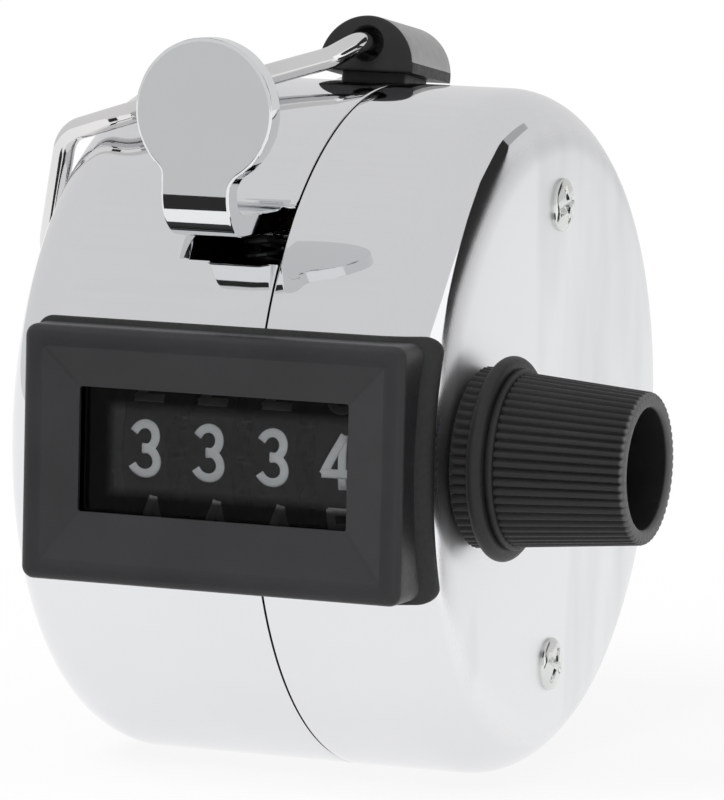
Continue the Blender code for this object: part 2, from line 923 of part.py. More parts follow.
def buildLever():
    """The thumb lever is the meeting of its side profile and its front outline."""
    innerBend = bendRadius - leverThickness
    frontY = leverFrontY - pivotY
    bottomZ = shankBottomZ - pivotZ
    topZ = bottomZ + leverThickness
    bend = (frontY + bendRadius, bottomZ + bendRadius)
    eyeInner = sleeveRadius + seatGap
    eyeOuter = eyeInner + eyeWall
    plateTop = padZ + padRadius + cutMargin - pivotZ
    lowAngle = 180.0 - math.degrees(math.asin(bottomZ / eyeOuter))
    highAngle = 540.0 - math.degrees(math.asin(topZ / eyeOuter))
    profile = [(frontY, plateTop)]
    profile += arc(bend, bendRadius, 180.0, 270.0, bendSteps)
    profile += arc((0.0, 0.0), eyeOuter, lowAngle, highAngle, eyeSteps)
    profile += arc(bend, innerBend, 270.0, 180.0, bendSteps)
    profile += [(frontY + leverThickness, plateTop)]
    lever = sidePlate(
        "thumb_lever",
        [profile, circle((0.0, 0.0), eyeInner)],
        padX - padRadius - cutMargin,
        padX + padRadius + cutMargin,
        pivotAxis,
        chrome,
    )
    halfNeck = neckWidth * 0.5
    rightShoulder = math.degrees(math.acos((neckX + halfNeck - padX) / padRadius))
    leftShoulder = math.degrees(math.acos((padX - neckX + halfNeck) / padRadius))
    middle = (padX, padZ - pivotZ)
    front = [(neckX + halfNeck, -eyeOuter - cutMargin)]
    front += arc(middle, padRadius, -rightShoulder, 180.0 + leftShoulder, padSteps)
    front += [(neckX - halfNeck, -eyeOuter - cutMargin)]
    guide = frontPlate(
        "thumb_lever_front_guide", [front], frontY - cutMargin, eyeOuter + cutMargin, pivotAxis, None
    )
    boolean(lever, guide, "INTERSECT")

    bore = pivotPinRadius + runGap
    tube("lever_sleeve", sleeveLeftX, sleeveRightX, bore, sleeveRadius, pivotAxis, brass)
    armLeftX = sleeveRightX + seatGap
    pawlPlace = (pawlPinY - pivotY, pawlPinZ - pivotZ)
    sidePlate(
        "drive_arm",
        [
            linkOutline((0.0, 0.0), armPivotRadius, pawlPlace, armEndRadius),
            circle((0.0, 0.0), bore, smallSides),
            circle(pawlPlace, pawlPinRadius + seatGap, smallSides),
        ],
        armLeftX,
        armLeftX + armThickness,
        pivotAxis,
        steel,
    )
    pawlPinLeftX = unitsX + hubHalfWidth + runGap
    rod("pawl_pin", pawlPinLeftX, rightPlateX - sideGap, pawlPinRadius, pawlAxis, steel, smallSides)
    tip = (pawlTipY - pawlPinY, pawlTipZ - pawlPinZ)
    pawlLeftX = unitsX + hubHalfWidth + seatGap
    sidePlate(
        "drive_pawl",
        [
            linkOutline((0.0, 0.0), armEndRadius, tip, pawlTipRadius),
            circle((0.0, 0.0), pawlPinRadius + runGap, smallSides),
        ],
        pawlLeftX,
        pawlLeftX + pawlThickness,
        pawlAxis,
        steel,
    )


def buildTube(name, points, radius, resolution, axis, look):
    """A round wire through the points, with its ends filled."""
    curve = bpy.data.curves.new(name, "CURVE")
    curve.dimensions = "3D"
    curve.bevel_depth = radius * mm
    curve.bevel_resolution = resolution
    curve.use_fill_caps = True
    spline = curve.splines.new("POLY")
    spline.points.add(len(points) - 1)
    for point, place in zip(spline.points, points):
        offset = Vector(place) - Vector(axis)
        point.co = (*(offset * mm), 1.0)
    curve.materials.append(look)
    wire = bpy.data.objects.new(name, curve)
    wire.location = Vector(axis) * mm
    wire.parent = root
    parts.objects.link(wire)
    return wire


def buildReturnSpring():
    lowZ = shelfTopZ + seatGap + springWire
    highZ = shankBottomZ - seatGap - springWire
    steps = springSides * springTurns
    points = []
    for i in range(steps + 1):
        angle = 2.0 * math.pi * springTurns * i / steps
        x = springX + springRadius * math.cos(angle)
        y = springY + springRadius * math.sin(angle)
        points.append((x, y, lowZ + (highZ - lowZ) * i / steps))
    gap = (highZ - lowZ) / springTurns - 2.0 * springWire
    print("return spring, least gap between turns in mm:", round(gap, 2))
    buildTube("lever_return_spring", points, springWire, 1, (springX, springY, shelfTopZ), steel)


def buildBoss():
    clip = math.degrees(math.asin(bossFlat / bossRadius))
    head = arc((0.0, 0.0), bossRadius, clip, 180.0 - clip, bossSteps)
    tunnel = circle((0.0, tunnelHeight), tunnelRadius)
    half = bossLength * 0.5
    boss = frontPlate("ring_boss", [head, tunnel], -half, half, bossCentre, blackPlastic)
    foot = [
        (-neckHalfWidth, bossFlat + seatGap),
        (-neckHalfWidth, footTop),
        (-footHalfWidth, footTop),
        (-footHalfWidth, footBottom),
        (footHalfWidth, footBottom),
        (footHalfWidth, footTop),
        (neckHalfWidth, footTop),
        (neckHalfWidth, bossFlat + seatGap),
    ]
    neck = frontPlate("ring_boss_neck", [foot], -neckLength * 0.5, neckLength * 0.5, bossCentre, None)
    for obj in (boss, neck):
        obj.rotation_euler = (bossTilt, 0.0, 0.0)
    boolean(boss, neck, "UNION")


def roundedPath(corners, bend, steps):
    """Straight runs between the corner points with each corner turned through an arc."""
    path = [corners[0]]
    for before, corner, after in zip(corners, corners[1:], corners[2:]):
        inward = (before - corner).normalized()
        outward = (after - corner).normalized()
        half = 0.5 * math.acos(max(-1.0, min(1.0, inward.dot(outward))))
        room = ringBendShare * min((before - corner).length, (after - corner).length)
        reach = min(bend / math.tan(half), room)
        radius = reach * math.tan(half)
        centre = corner + (inward + outward).normalized() * radius / math.sin(half)
        start = corner + inward * reach - centre
        end = corner + outward * reach - centre
        sweep = math.pi - 2.0 * half
        count = max(2, math.ceil(steps * sweep / math.radians(90.0)))
        for i in range(count + 1):
            share = sweep * i / count
            part = start * math.sin(sweep - share) + end * math.sin(share)
            path.append(centre + part / math.sin(sweep))
    path.append(corners[-1])
    return path


def buildFingerRing():
    """An open wire whose two ends meet inside the boss's tunnel."""
    along = Vector((0.0, math.cos(bossTilt), math.sin(bossTilt)))
    corners = [tunnelCentre - along * ringEndGap * 0.5, tunnelCentre - along * ringFrontReach]
    corners += [Vector(point) for point in ringCorners]
    corners += [tunnelCentre + along * ringBackReach, tunnelCentre + along * ringEndGap * 0.5]
    path = roundedPath(corners, ringBend, wireSteps)
    buildTube("finger_ring", path, ringWire, 2, tuple(tunnelCentre), chrome)


def groundRoot():
    """Moves the root so that the origin is the middle of the bounding box's bottom."""
    bpy.context.view_layer.update()
    graph = bpy.context.evaluated_depsgraph_get()
    points = []
    for obj in parts.objects:
        if obj.type == "EMPTY":
            continue
        shape = obj.evaluated_get(graph)
        mesh = shape.to_mesh()
        points += [shape.matrix_world @ vertex.co for vertex in mesh.vertices]
        shape.to_mesh_clear()
    low = [min(point[i] for point in points) for i in range(3)]
    high = [max(point[i] for point in points) for i in range(3)]
    root.location = (-(low[0] + high[0]) * 0.5, -(low[1] + high[1]) * 0.5, -low[2])
    print("root offset in mm:", [round(value / mm, 3) for value in root.location])


clearScene()
parts = makeCollection("hand_tally_counter")
cutters = makeCollection("cutters")
root = makeEmpty("tally_root", (0.0, 0.0, 0.0))

chrome = makeMaterial("chrome", (0.80, 0.81, 0.82), 0.08, 1.0)
steel = makeMaterial("zinc_steel", (0.55, 0.56, 0.57), 0.35, 1.0)
brass = makeMaterial("brass", (0.72, 0.55, 0.25), 0.3, 1.0)
blackPlastic = makeMaterial("black_plastic", (0.018, 0.018, 0.02), 0.35, 0.0)
blackRubber = makeMaterial("black_rubber", (0.03, 0.03, 0.03), 0.7, 0.0)
clearPlastic = makeMaterial("clear_plastic", (0.9, 0.92, 0.93), 0.05, 0.0, 0.25)

origin = (0.0, 0.0, 0.0)
wheelAxis = (0.0, wheelAxisY, wheelAxisZ)
pivotAxis = (0.0, pivotY, pivotZ)
pawlAxis = (0.0, pawlPinY, pawlPinZ)
pinionY = wheelAxisY + pinionDistance * math.cos(pinionDirection)
pinionZ = wheelAxisZ + pinionDistance * math.sin(pinionDirection)
pinionAxis = (0.0, pinionY, pinionZ)
unitsX = firstWheelX + (len(wheelNames) - 1) * wheelPitch
ratchetRightX = unitsX + hubHalfWidth + seatGap + ratchetThickness
rightPlateX = ratchetRightX + sideGap + bushFlangeThickness + seatGap
sleeveRightX = rightPlateX - armThickness - 2.0 * seatGap
frameReach = lensRim + 2.0 * seatGap + pocketWall
bossCentre = (bossX, bossY, bossZ)
bossUp = Vector((0.0, -math.sin(bossTilt), math.cos(bossTilt)))
tunnelCentre = Vector(bossCentre) + bossUp * tunnelHeight

windowCutter = buildCase()
buildBezel(windowCutter)
buildFrame()
buildPostsAndScrews()
buildWheels()
buildDetent()
buildShaftAndKnob()
buildLever()
buildReturnSpring()
buildBoss()
buildFingerRing()
groundRoot()
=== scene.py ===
import bpy
import numpy as np
from mathutils import Matrix, Vector


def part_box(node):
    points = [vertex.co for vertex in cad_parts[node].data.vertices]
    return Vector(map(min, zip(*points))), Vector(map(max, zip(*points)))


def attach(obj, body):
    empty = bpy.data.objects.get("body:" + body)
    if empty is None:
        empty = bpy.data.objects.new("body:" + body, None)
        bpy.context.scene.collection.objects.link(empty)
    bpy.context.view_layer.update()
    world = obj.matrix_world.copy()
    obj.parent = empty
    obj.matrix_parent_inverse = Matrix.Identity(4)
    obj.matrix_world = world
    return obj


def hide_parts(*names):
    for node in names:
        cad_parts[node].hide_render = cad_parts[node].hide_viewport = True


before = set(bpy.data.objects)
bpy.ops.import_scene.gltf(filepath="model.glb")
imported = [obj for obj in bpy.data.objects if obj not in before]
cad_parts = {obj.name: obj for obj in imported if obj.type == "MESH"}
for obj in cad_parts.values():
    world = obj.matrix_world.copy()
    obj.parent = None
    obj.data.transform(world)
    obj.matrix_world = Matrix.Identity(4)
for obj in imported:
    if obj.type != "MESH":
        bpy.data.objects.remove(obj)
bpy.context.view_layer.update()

# Shapes are worked out in millimetres from the case seam (x = 0) and the drum axis (y = z = 0),
# and seamPlace carries them into the frame.
mm = 0.001
seamGap = 0.15
shellLow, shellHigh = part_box("left_shell")
seamPlace = np.array(
    [
        shellHigh[0] / mm + seamGap,
        (shellLow[1] + shellHigh[1]) * 0.5 / mm,
        (shellLow[2] + shellHigh[2]) * 0.5 / mm,
    ]
)
twoPi = 2.0 * np.pi

drum = {"radius": 21.0, "leftX": -17.1, "rightX": 11.0, "fillet": 4.0, "wall": 0.7, "seam": 0.05}
wheelRow = {"axisY": -13.15, "firstX": -7.2, "pitch": 4.1, "radius": 7.27}


# Grids, meshes and materials


def rowFaces(rows, columns, wrapRows, wrapColumns):
    # every cell of the grid as four corner indices, with the last row or column joined to the first
    i = np.arange(rows if wrapRows else rows - 1)
    j = np.arange(columns if wrapColumns else columns - 1)
    i, j = np.meshgrid(i, j, indexing="ij")
    nextI = (i + 1) % rows
    nextJ = (j + 1) % columns
    return np.stack([i * columns + j, nextI * columns + j, nextI * columns + nextJ, i * columns + nextJ], -1)


def signedVolume(points, faces):
    a, b, c, d = (points[faces[:, k]] for k in range(4))
    middle = points.mean(0)
    first = np.einsum("ij,ij->i", np.cross(a - middle, b - middle), c - middle)
    second = np.einsum("ij,ij->i", np.cross(a - middle, c - middle), d - middle)
    return float((first + second).sum())


def gridObject(name, grid, wrapRows=False, keep=None, firstPole=False, lastPole=False, sharp=35.0):
    # grid is rows by columns by 3 in mm and closed across its columns; a pole is a row whose points all
    # fall on one, so its cells become triangles; faces that would point inwards are turned over
    rows, columns = grid.shape[:2]
    points = grid.reshape(-1, 3)
    cells = rowFaces(rows, columns, wrapRows, True)
    kept = np.ones(cells.shape[:2], bool) if keep is None else keep
    if signedVolume(points, cells[kept]) < 0.0:
        cells = cells[..., ::-1]
        firstOrder, lastOrder = [1, 2, 3], [0, 2, 3]
    else:
        firstOrder, lastOrder = [0, 1, 2], [0, 1, 3]
    triangles = []
    if firstPole:
        triangles.append(np.where(cells[0] < columns, 0, cells[0])[kept[0]][:, firstOrder])
        cells, kept = cells[1:], kept[1:]
    if lastPole:
        last = (rows - 1) * columns
        triangles.append(np.where(cells[-1] >= last, last, cells[-1])[kept[-1]][:, lastOrder])
        cells, kept = cells[:-1], kept[:-1]
    quads = cells[kept]
    triangles = np.concatenate(triangles) if triangles else np.zeros((0, 3), int)
    used = np.unique(np.concatenate([quads.ravel(), triangles.ravel()]))
    newIndex = np.zeros(len(points), int)
    newIndex[used] = np.arange(len(used))
    return meshObject(name, points[used], newIndex[quads].tolist() + newIndex[triangles].tolist(), sharp)


def meshObject(name, points, faces, sharp=35.0):
    # points in mm are carried into the frame; edges sharper than the angle stay sharp
    mesh = bpy.data.meshes.new(name)
    mesh.from_pydata(((points + seamPlace) * mm).tolist(), [], faces)
    mesh.polygons.foreach_set("use_smooth", np.ones(len(mesh.polygons), bool))
    mesh.set_sharp_from_angle(angle=np.radians(sharp))
    mesh.update()
    obj = bpy.data.objects.new(name, mesh)
    bpy.context.scene.collection.objects.link(obj)
    return obj


def turnedGrid(profile, angles):
    # each profile point (x, radius) carried round the drum's axis; angle 0 is the front, 90 degrees the top
    x, radius = profile[:, 0][:, None], profile[:, 1][:, None]
    return np.stack(
        [x + 0.0 * angles, -radius * np.cos(angles), radius * np.sin(angles)], -1
    )


def arcPoints(centre, radius, start, end, steps):
    angle = np.radians(np.linspace(start, end, steps + 1))
    return np.stack([centre[0] + radius * np.cos(angle), centre[1] + radius * np.sin(angle)], -1)


def linePoints(start, end, steps):
    share = np.linspace(0.0, 1.0, steps + 1)[:, None]
    return np.array(start) * (1.0 - share) + np.array(end) * share


def joinPath(*stretches):
    # stretches laid end to end, each doubled point dropped
    path = np.concatenate(stretches)
    step = np.linalg.norm(np.diff(path, axis=0), axis=1)
    return path[np.concatenate([[True], step > 1e-5])]


def addMaterial(name, build, values=None):
    material = bpy.data.materials.new(name)
    material.use_nodes = True
    tree = material.node_tree
    tree.nodes.clear()
    output = tree.nodes.new("ShaderNodeOutputMaterial")
    shader = tree.nodes.new("ShaderNodeBsdfPrincipled")
    tree.links.new(shader.outputs["BSDF"], output.inputs["Surface"])
    build(tree, shader, **(values or {}))
    return material


def noiseNode(tree, scale, detail=4.0, stretch=(1.0, 1.0, 1.0)):
    place = tree.nodes.new("ShaderNodeTexCoord")
    mapping = tree.nodes.new("ShaderNodeMapping")
    mapping.inputs["Scale"].default_value = stretch
    noise = tree.nodes.new("ShaderNodeTexNoise")
    noise.inputs["Scale"].default_value = scale
    noise.inputs["Detail"].default_value = detail
    tree.links.new(place.outputs["Object"], mapping.inputs["Vector"])
    tree.links.new(mapping.outputs["Vector"], noise.inputs["Vector"])
    return noise.outputs["Fac"]


def rangeNode(tree, value, low, high, fromLow=0.3, fromHigh=0.7):
    node = tree.nodes.new("ShaderNodeMapRange")
    node.inputs["From Min"].default_value = fromLow
    node.inputs["From Max"].default_value = fromHigh
    node.inputs["To Min"].default_value = low
    node.inputs["To Max"].default_value = high
    tree.links.new(value, node.inputs["Value"])
    return node.outputs["Result"]


def mixNode(tree, share, first, second):
    # each end is a colour or another node's output
    node = tree.nodes.new("ShaderNodeMix")
    node.data_type = "RGBA"
    for letter, value in (("A", first), ("B", second)):
        if isinstance(value, bpy.types.NodeSocket):
            tree.links.new(value, node.inputs[letter])
        else:
            node.inputs[letter].default_value = (*value, 1.0)
    tree.links.new(share, node.inputs["Factor"])
    return node.outputs["Result"]


def placeNode(tree, axis):
    # one of the piece's own coordinates, in metres
    place = tree.nodes.new("ShaderNodeTexCoord")
    split = tree.nodes.new("ShaderNodeSeparateXYZ")
    tree.links.new(place.outputs["Object"], split.inputs["Vector"])
    return split.outputs[axis]


def zoneNode(tree, axis, fromPlace, toPlace):
    # 0 before the first place and 1 past the second, both in mm from the seam and the drum's axis
    ends = [(value + seamPlace["XYZ".index(axis)]) * mm for value in (fromPlace, toPlace)]
    return rangeNode(tree, placeNode(tree, axis), 0.0, 1.0, *ends)


def overPaint(tree, shader, share, colour):
    # the colour laid over the shader's present one
    present = shader.inputs["Base Color"].links[0].from_socket
    tree.links.new(mixNode(tree, share, present, colour), shader.inputs["Base Color"])


def largerNode(tree, first, second):
    node = tree.nodes.new("ShaderNodeMath")
    node.operation = "MAXIMUM"
    tree.links.new(first, node.inputs[0])
    tree.links.new(second, node.inputs[1])
    return node.outputs[0]


def bumpNode(tree, height, strength, distance):
    node = tree.nodes.new("ShaderNodeBump")
    node.inputs["Strength"].default_value = strength
    node.inputs["Distance"].default_value = distance
    tree.links.new(height, node.inputs["Height"])
    return node.outputs["Normal"]


def cloudedColour(tree, shader, scale, detail, light, dark):
    # noise between the two colours
    cloud = noiseNode(tree, scale, detail)
    tree.links.new(mixNode(tree, rangeNode(tree, cloud, 0.0, 1.0), dark, light), shader.inputs["Base Color"])


def metalLook(tree, shader, light, dark, rough, grain, bump, stretch=(1.0, 1.0, 1.0)):
    # slow clouds tint the plating and finer ones vary its polish; a faint ripple moves the reflections
    cloudedColour(tree, shader, 90.0, 3.0, light, dark)
    fine = noiseNode(tree, grain, 6.0, stretch)
    tree.links.new(rangeNode(tree, fine, *rough), shader.inputs["Roughness"])
    tree.links.new(bumpNode(tree, fine, bump, 0.02 * mm), shader.inputs["Normal"])
    shader.inputs["Metallic"].default_value = 1.0


def plasticLook(tree, shader, light, dark, rough, grain, bump, specular):
    # slow clouds shift the colour and a fine grain varies gloss and surface
    cloudedColour(tree, shader, 140.0, 4.0, light, dark)
    fine = noiseNode(tree, grain, 5.0)
    tree.links.new(rangeNode(tree, fine, *rough), shader.inputs["Roughness"])
    tree.links.new(bumpNode(tree, fine, bump, 0.03 * mm), shader.inputs["Normal"])
    shader.inputs["Specular IOR Level"].default_value = specular


# Each finish has its lightest and darkest colour, its smoothest and roughest spots, and its grain and bump.
metals = {
    "screwChrome": {"light": (0.82, 0.83, 0.82), "dark": (0.62, 0.64, 0.62), "rough": (0.08, 0.2),
                    "grain": 2500.0, "bump": 0.35},
    "padChrome": {"light": (0.80, 0.81, 0.815), "dark": (0.78, 0.79, 0.80), "rough": (0.03, 0.07),
                  "grain": 900.0, "bump": 0.06},
    "wireChrome": {"light": (0.80, 0.79, 0.785), "dark": (0.70, 0.70, 0.70), "rough": (0.03, 0.09),
                   "grain": 1200.0, "bump": 0.12},
    # the boss's grey side band is painted sheen: grey metal standing in for the glossy reflection on the
    # black plastic's round side
    "bossSheenBand": {"light": (0.46, 0.455, 0.45), "dark": (0.38, 0.38, 0.38), "rough": (0.38, 0.5),
                 "grain": 1600.0, "bump": 0.3},
    "innerSteel": {"light": (0.2, 0.205, 0.21), "dark": (0.12, 0.125, 0.13), "rough": (0.35, 0.55),
                   "grain": 1500.0, "bump": 0.3, "stretch": (1.0, 6.0, 1.0)},
    "innerBrass": {"light": (0.62, 0.46, 0.2), "dark": (0.45, 0.33, 0.15), "rough": (0.2, 0.4),
                   "grain": 1500.0, "bump": 0.2},
}
plastics = {
    "shellInside": {"light": (0.02, 0.02, 0.021), "dark": (0.012, 0.012, 0.013), "rough": (0.6, 0.8),
                    "grain": 900.0, "bump": 0.3, "specular": 0.2},
    "bezelPlastic": {"light": (0.024, 0.024, 0.026), "dark": (0.018, 0.018, 0.0195), "rough": (0.3, 0.42),
                     "grain": 4500.0, "bump": 0.3, "specular": 0.3},
    "wheelPlastic": {"light": (0.005, 0.005, 0.0055), "dark": (0.003, 0.003, 0.0034), "rough": (0.5, 0.65),
                     "grain": 4000.0, "bump": 0.15, "specular": 0.04},
    "numeralPaint": {"light": (0.88, 0.885, 0.89), "dark": (0.76, 0.765, 0.77), "rough": (0.5, 0.7),
                     "grain": 3500.0, "bump": 0.3, "specular": 0.2},
    "gasketRubber": {"light": (0.02, 0.022, 0.021), "dark": (0.014, 0.015, 0.0145), "rough": (0.5, 0.7),
                     "grain": 3800.0, "bump": 0.4, "specular": 0.3},
    "bossPlastic": {"light": (0.018, 0.018, 0.019), "dark": (0.011, 0.011, 0.012), "rough": (0.35, 0.5),
                    "grain": 3000.0, "bump": 0.35, "specular": 0.3},
}
looks = {name: addMaterial(name, metalLook, values) for name, values in metals.items()}
looks.update({name: addMaterial(name, plasticLook, values) for name, values in plastics.items()})


def finish(obj, material, body, slot, *nodes):
    # the piece gets its material and the body that it rides on, and the nodes that it stands for are hidden
    if material is not None:
        obj.data.materials.append(material)
    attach(obj, body)
    if nodes:
        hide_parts(*nodes)
    return obj


# Case shells

slotHole = {"leftX": -5.8, "bottomZ": 11.1, "topZ": 14.5}
windowHole = {"leftX": -12.7, "rightX": 8.1, "bottomZ": -5.65, "topZ": 5.42}
neckHole = {"leftX": -4.75, "frontY": 1.4, "backY": 6.4}
shellGrid = {"around": 288, "fillet": 18, "edgeRound": 0.12}
plating = {"light": (0.795, 0.80, 0.815), "dark": (0.775, 0.782, 0.80), "rough": (0.02, 0.05),
           "grain": 700.0, "bump": 0.04}
satin = {"start": 0.7, "full": 0.07, "dark": (0.75, 0.755, 0.765), "light": (0.86, 0.868, 0.875),
         "rough": 0.42}


def drumLook(tree, shader):
    # bright plating that turns satin on the flat right face, with faint upright streaks in the satin
    metalLook(tree, shader, **plating)
    onFace = zoneNode(tree, "X", drum["rightX"] - satin["start"], drum["rightX"] - satin["full"])
    streak = rangeNode(tree, noiseNode(tree, 160.0, 3.0, (1.0, 1.0, 0.22)), 0.0, 1.0, 0.28, 0.5)
    overPaint(tree, shader, onFace, mixNode(tree, streak, satin["dark"], satin["light"]))
    polish = shader.inputs["Roughness"].links[0].from_socket
    rough = tree.nodes.new("ShaderNodeMapRange")
    rough.inputs["To Max"].default_value = satin["rough"]
    tree.links.new(onFace, rough.inputs["Value"])
    tree.links.new(polish, rough.inputs["To Min"])
    tree.links.new(rough.outputs["Result"], shader.inputs["Roughness"])


def withLines(values, lines, near):
    # the even spacing with extra lines where an opening's edge falls
    values = values[np.all(np.abs(values[:, None] - np.array(lines)) > near, axis=1)]
    return np.sort(np.concatenate([values, lines]))


def makeShell(name, side):
    # profile from the face's middle over the rim fillet to the seam, carried round the drum axis
    faceX = drum["leftX"] if side < 0 else drum["rightX"]
    radius, fillet = drum["radius"], drum["fillet"]
    centreX = faceX - side * fillet
    seamX = side * drum["seam"]
    edge = shellGrid["edgeRound"]
    face = linePoints((faceX, 0.0), (faceX, radius - fillet), 10)
    bend = np.stack(
        [
            centreX + side * fillet * np.cos(np.linspace(0, np.pi / 2, shellGrid["fillet"] + 1)),
            radius - fillet + fillet * np.sin(np.linspace(0, np.pi / 2, shellGrid["fillet"] + 1)),
        ],
        -1,
    )
    wallEnd = seamX + side * edge
    wallX = np.linspace(centreX, wallEnd, 13)
    lines = [windowHole["leftX"], slotHole["leftX"], neckHole["leftX"]] if side < 0 else []
    if lines:
        inner = withLines(wallX[1:-1], [x for x in lines if x > centreX], 0.3)
        wallX = np.concatenate([wallX[:1], inner, wallX[-1:]])
    wall = np.stack([wallX, np.full(len(wallX), radius)], -1)
    turn = np.linspace(0, np.pi / 2, 5)
    lip = np.stack([wallEnd - side * edge * np.sin(turn), radius - edge + edge * np.cos(turn)], -1)
    profile = joinPath(face, bend, wall, lip)
    slotAngles = [np.arcsin(slotHole[key] / radius) for key in ("bottomZ", "topZ")]
    windowAngles = [np.arcsin(windowHole[key] / radius) for key in ("bottomZ", "topZ")]
    neckAngles = [np.pi / 2 + np.arcsin(neckHole[key] / radius) for key in ("frontY", "backY")]
    even = np.linspace(-np.pi, np.pi, shellGrid["around"], endpoint=False)
    angles = withLines(even, slotAngles + windowAngles + neckAngles, 0.008)
    middleX = 0.5 * (profile[:-1, 0] + profile[1:, 0])[:, None]
    onWall = 0.5 * (profile[:-1, 1] + profile[1:, 1])[:, None] > radius - fillet * 0.4
    nextAngle = np.concatenate([angles[1:], angles[:1] + twoPi])
    middleAngle = (0.5 * (angles + nextAngle))[None, :]
    cut = onWall & (middleX > windowHole["leftX"]) & (middleX < windowHole["rightX"]) & (
        middleAngle > windowAngles[0]) & (middleAngle < windowAngles[1])
    if side < 0:
        cut |= onWall & (middleX > slotHole["leftX"]) & (middleAngle > slotAngles[0]) & (
            middleAngle < slotAngles[1])
        cut |= onWall & (middleX > neckHole["leftX"]) & (middleAngle > neckAngles[0]) & (
            middleAngle < neckAngles[1])
    shell = gridObject(name, turnedGrid(profile, angles), keep=~cut, firstPole=True)
    wallThickness = shell.modifiers.new("wall", "SOLIDIFY")
    wallThickness.thickness = drum["wall"] * mm
    wallThickness.offset = -1.0
    wallThickness.material_offset = 1
    return shell


drumChrome = addMaterial("drumChrome", drumLook)
for name, side, node in (("leftShellSkin", -1.0, "left_shell"), ("rightShellSkin", 1.0, "right_shell")):
    shell = finish(makeShell(name, side), drumChrome, "case", "chrome", node)
    shell.data.materials.append(looks["shellInside"])
print("case shells made")


# Bezel, gasket and lens

bezel = {
    "leftX": -14.15, "rightX": 10.1, "bottomZ": -7.95, "topZ": 7.25, "frontY": -22.8,
    "corner": 0.75, "edge": 0.45, "rim": 1.3, "funnelDepth": 1.0, "lip": 0.25,
    "windowLeftX": -10.9, "windowRightX": 6.3, "windowBottomZ": -3.85, "windowTopZ": 3.62,
    "windowCorner": 0.18, "backGap": 0.95, "backWall": 1.2, "rimEdge": 0.08, "rimSink": 0.03,
    "pocketBackY": -20.7, "pocketStep": 0.9, "pocket": 1.5,
}
gasket = {"step": 0.3, "rightStep": 0.65, "gap": 0.3, "thickness": 0.4, "outerCorner": 1.0,
          "innerCorner": 0.6}

# each painted-shade pair is where the painted shade on the lens starts and where it is full
lens = {
    "frontY": -21.25, "thickness": 0.4, "reach": 0.6, "edge": 0.08, "corner": 0.4, "inner": 3.4,
    "lowPaintedShade": (-2.25, -2.95), "highPaintedShade": (2.2, 2.9), "leftPaintedShade": (-8.9, -9.5),
    "paintedShade": (0.12, 0.12, 0.12), "dark": (0.62, 0.63, 0.64), "light": (0.67, 0.68, 0.68),
    "ior": 1.46, "specular": 0.15,
}


def lensLook(tree, shader):
    # clear moulded plastic with faint haze and hairline marks, with painted shade darkening it towards its
    # top, bottom and left edges
    haze = noiseNode(tree, 900.0, 5.0, (1.0, 1.0, 8.0))
    tree.links.new(rangeNode(tree, haze, 0.0, 0.02), shader.inputs["Roughness"])
    clear = mixNode(tree, rangeNode(tree, haze, 0.0, 1.0), lens["dark"], lens["light"])
    tree.links.new(clear, shader.inputs["Base Color"])
    # painted shade: a dark colour laid over the lens near the window's top, bottom and left edges, where the
    # recess is in shade
    paintedShade = zoneNode(tree, "Z", *lens["lowPaintedShade"])
    for axis, ends in (("Z", lens["highPaintedShade"]), ("X", lens["leftPaintedShade"])):
        paintedShade = largerNode(tree, paintedShade, zoneNode(tree, axis, *ends))
    overPaint(tree, shader, paintedShade, lens["paintedShade"])
    shader.inputs["Transmission Weight"].default_value = 1.0
    shader.inputs["IOR"].default_value = lens["ior"]
    shader.inputs["Specular IOR Level"].default_value = lens["specular"]


def roundedRect(leftX, rightX, bottomZ, topZ, corner, perSide=24, perCorner=8):
    # straight sides joined by quarter circles, counted the same at every level so that levels can be joined
    stretches = []
    centres = [(rightX - corner, topZ - corner, 0.0), (leftX + corner, topZ - corner, 90.0),
               (leftX + corner, bottomZ + corner, 180.0), (rightX - corner, bottomZ + corner, 270.0)]
    for k, (cx, cz, start) in enumerate(centres):
        turn = arcPoints((cx, cz), corner, start, start + 90.0, perCorner)
        nextX, nextZ, nextStart = centres[(k + 1) % 4]
        angle = np.radians(nextStart)
        after = (nextX + corner * np.cos(angle), nextZ + corner * np.sin(angle))
        stretches += [turn, linePoints(turn[-1], after, perSide)[1:-1]]
    return np.concatenate(stretches)


def drumFront(x, z, grow):
    # y of the drum's front wall, grown by a gap, with the rim fillet followed past the wall's ends
    fillet = drum["fillet"] + grow
    inner = drum["radius"] - drum["fillet"]
    wallLeft, wallRight = drum["leftX"] + drum["fillet"], drum["rightX"] - drum["fillet"]
    past = np.maximum(np.maximum(x - wallRight, wallLeft - x), 0.0)
    radius = inner + np.sqrt(np.maximum(fillet**2 - past**2, 0.0))
    return -np.sqrt(np.maximum(radius**2 - z**2, 0.0))


def levelAt(path, y):
    # a flat outline of x and z stood up at one y
    return np.stack([path[:, 0], np.full(len(path), y), path[:, 1]], -1)


def bezelLevel(inset, depth):
    path = roundedRect(bezel["leftX"] + inset, bezel["rightX"] - inset, bezel["bottomZ"] + inset,
                       bezel["topZ"] - inset, max(bezel["corner"] - inset, 0.12))
    return levelAt(path, bezel["frontY"] + depth)


def hugDrum(level, gap):
    # the level's y moved back to the drum's front wall, less a gap
    level[:, 1] = drumFront(level[:, 0], level[:, 2], gap)
    return level


def windowLevel(share, y, grow=0.0):
    # between the rim's inner edge (share 0) and the window opening (share 1)
    outer = [bezel["leftX"] + bezel["rim"], bezel["rightX"] - bezel["rim"],
             bezel["bottomZ"] + bezel["rim"], bezel["topZ"] - bezel["rim"]]
    inner = [bezel["windowLeftX"] - grow, bezel["windowRightX"] + grow,
             bezel["windowBottomZ"] - grow, bezel["windowTopZ"] + grow]
    sides = [(1.0 - share) * a + share * b for a, b in zip(outer, inner)]
    return levelAt(roundedRect(*sides, bezel["windowCorner"]), y)


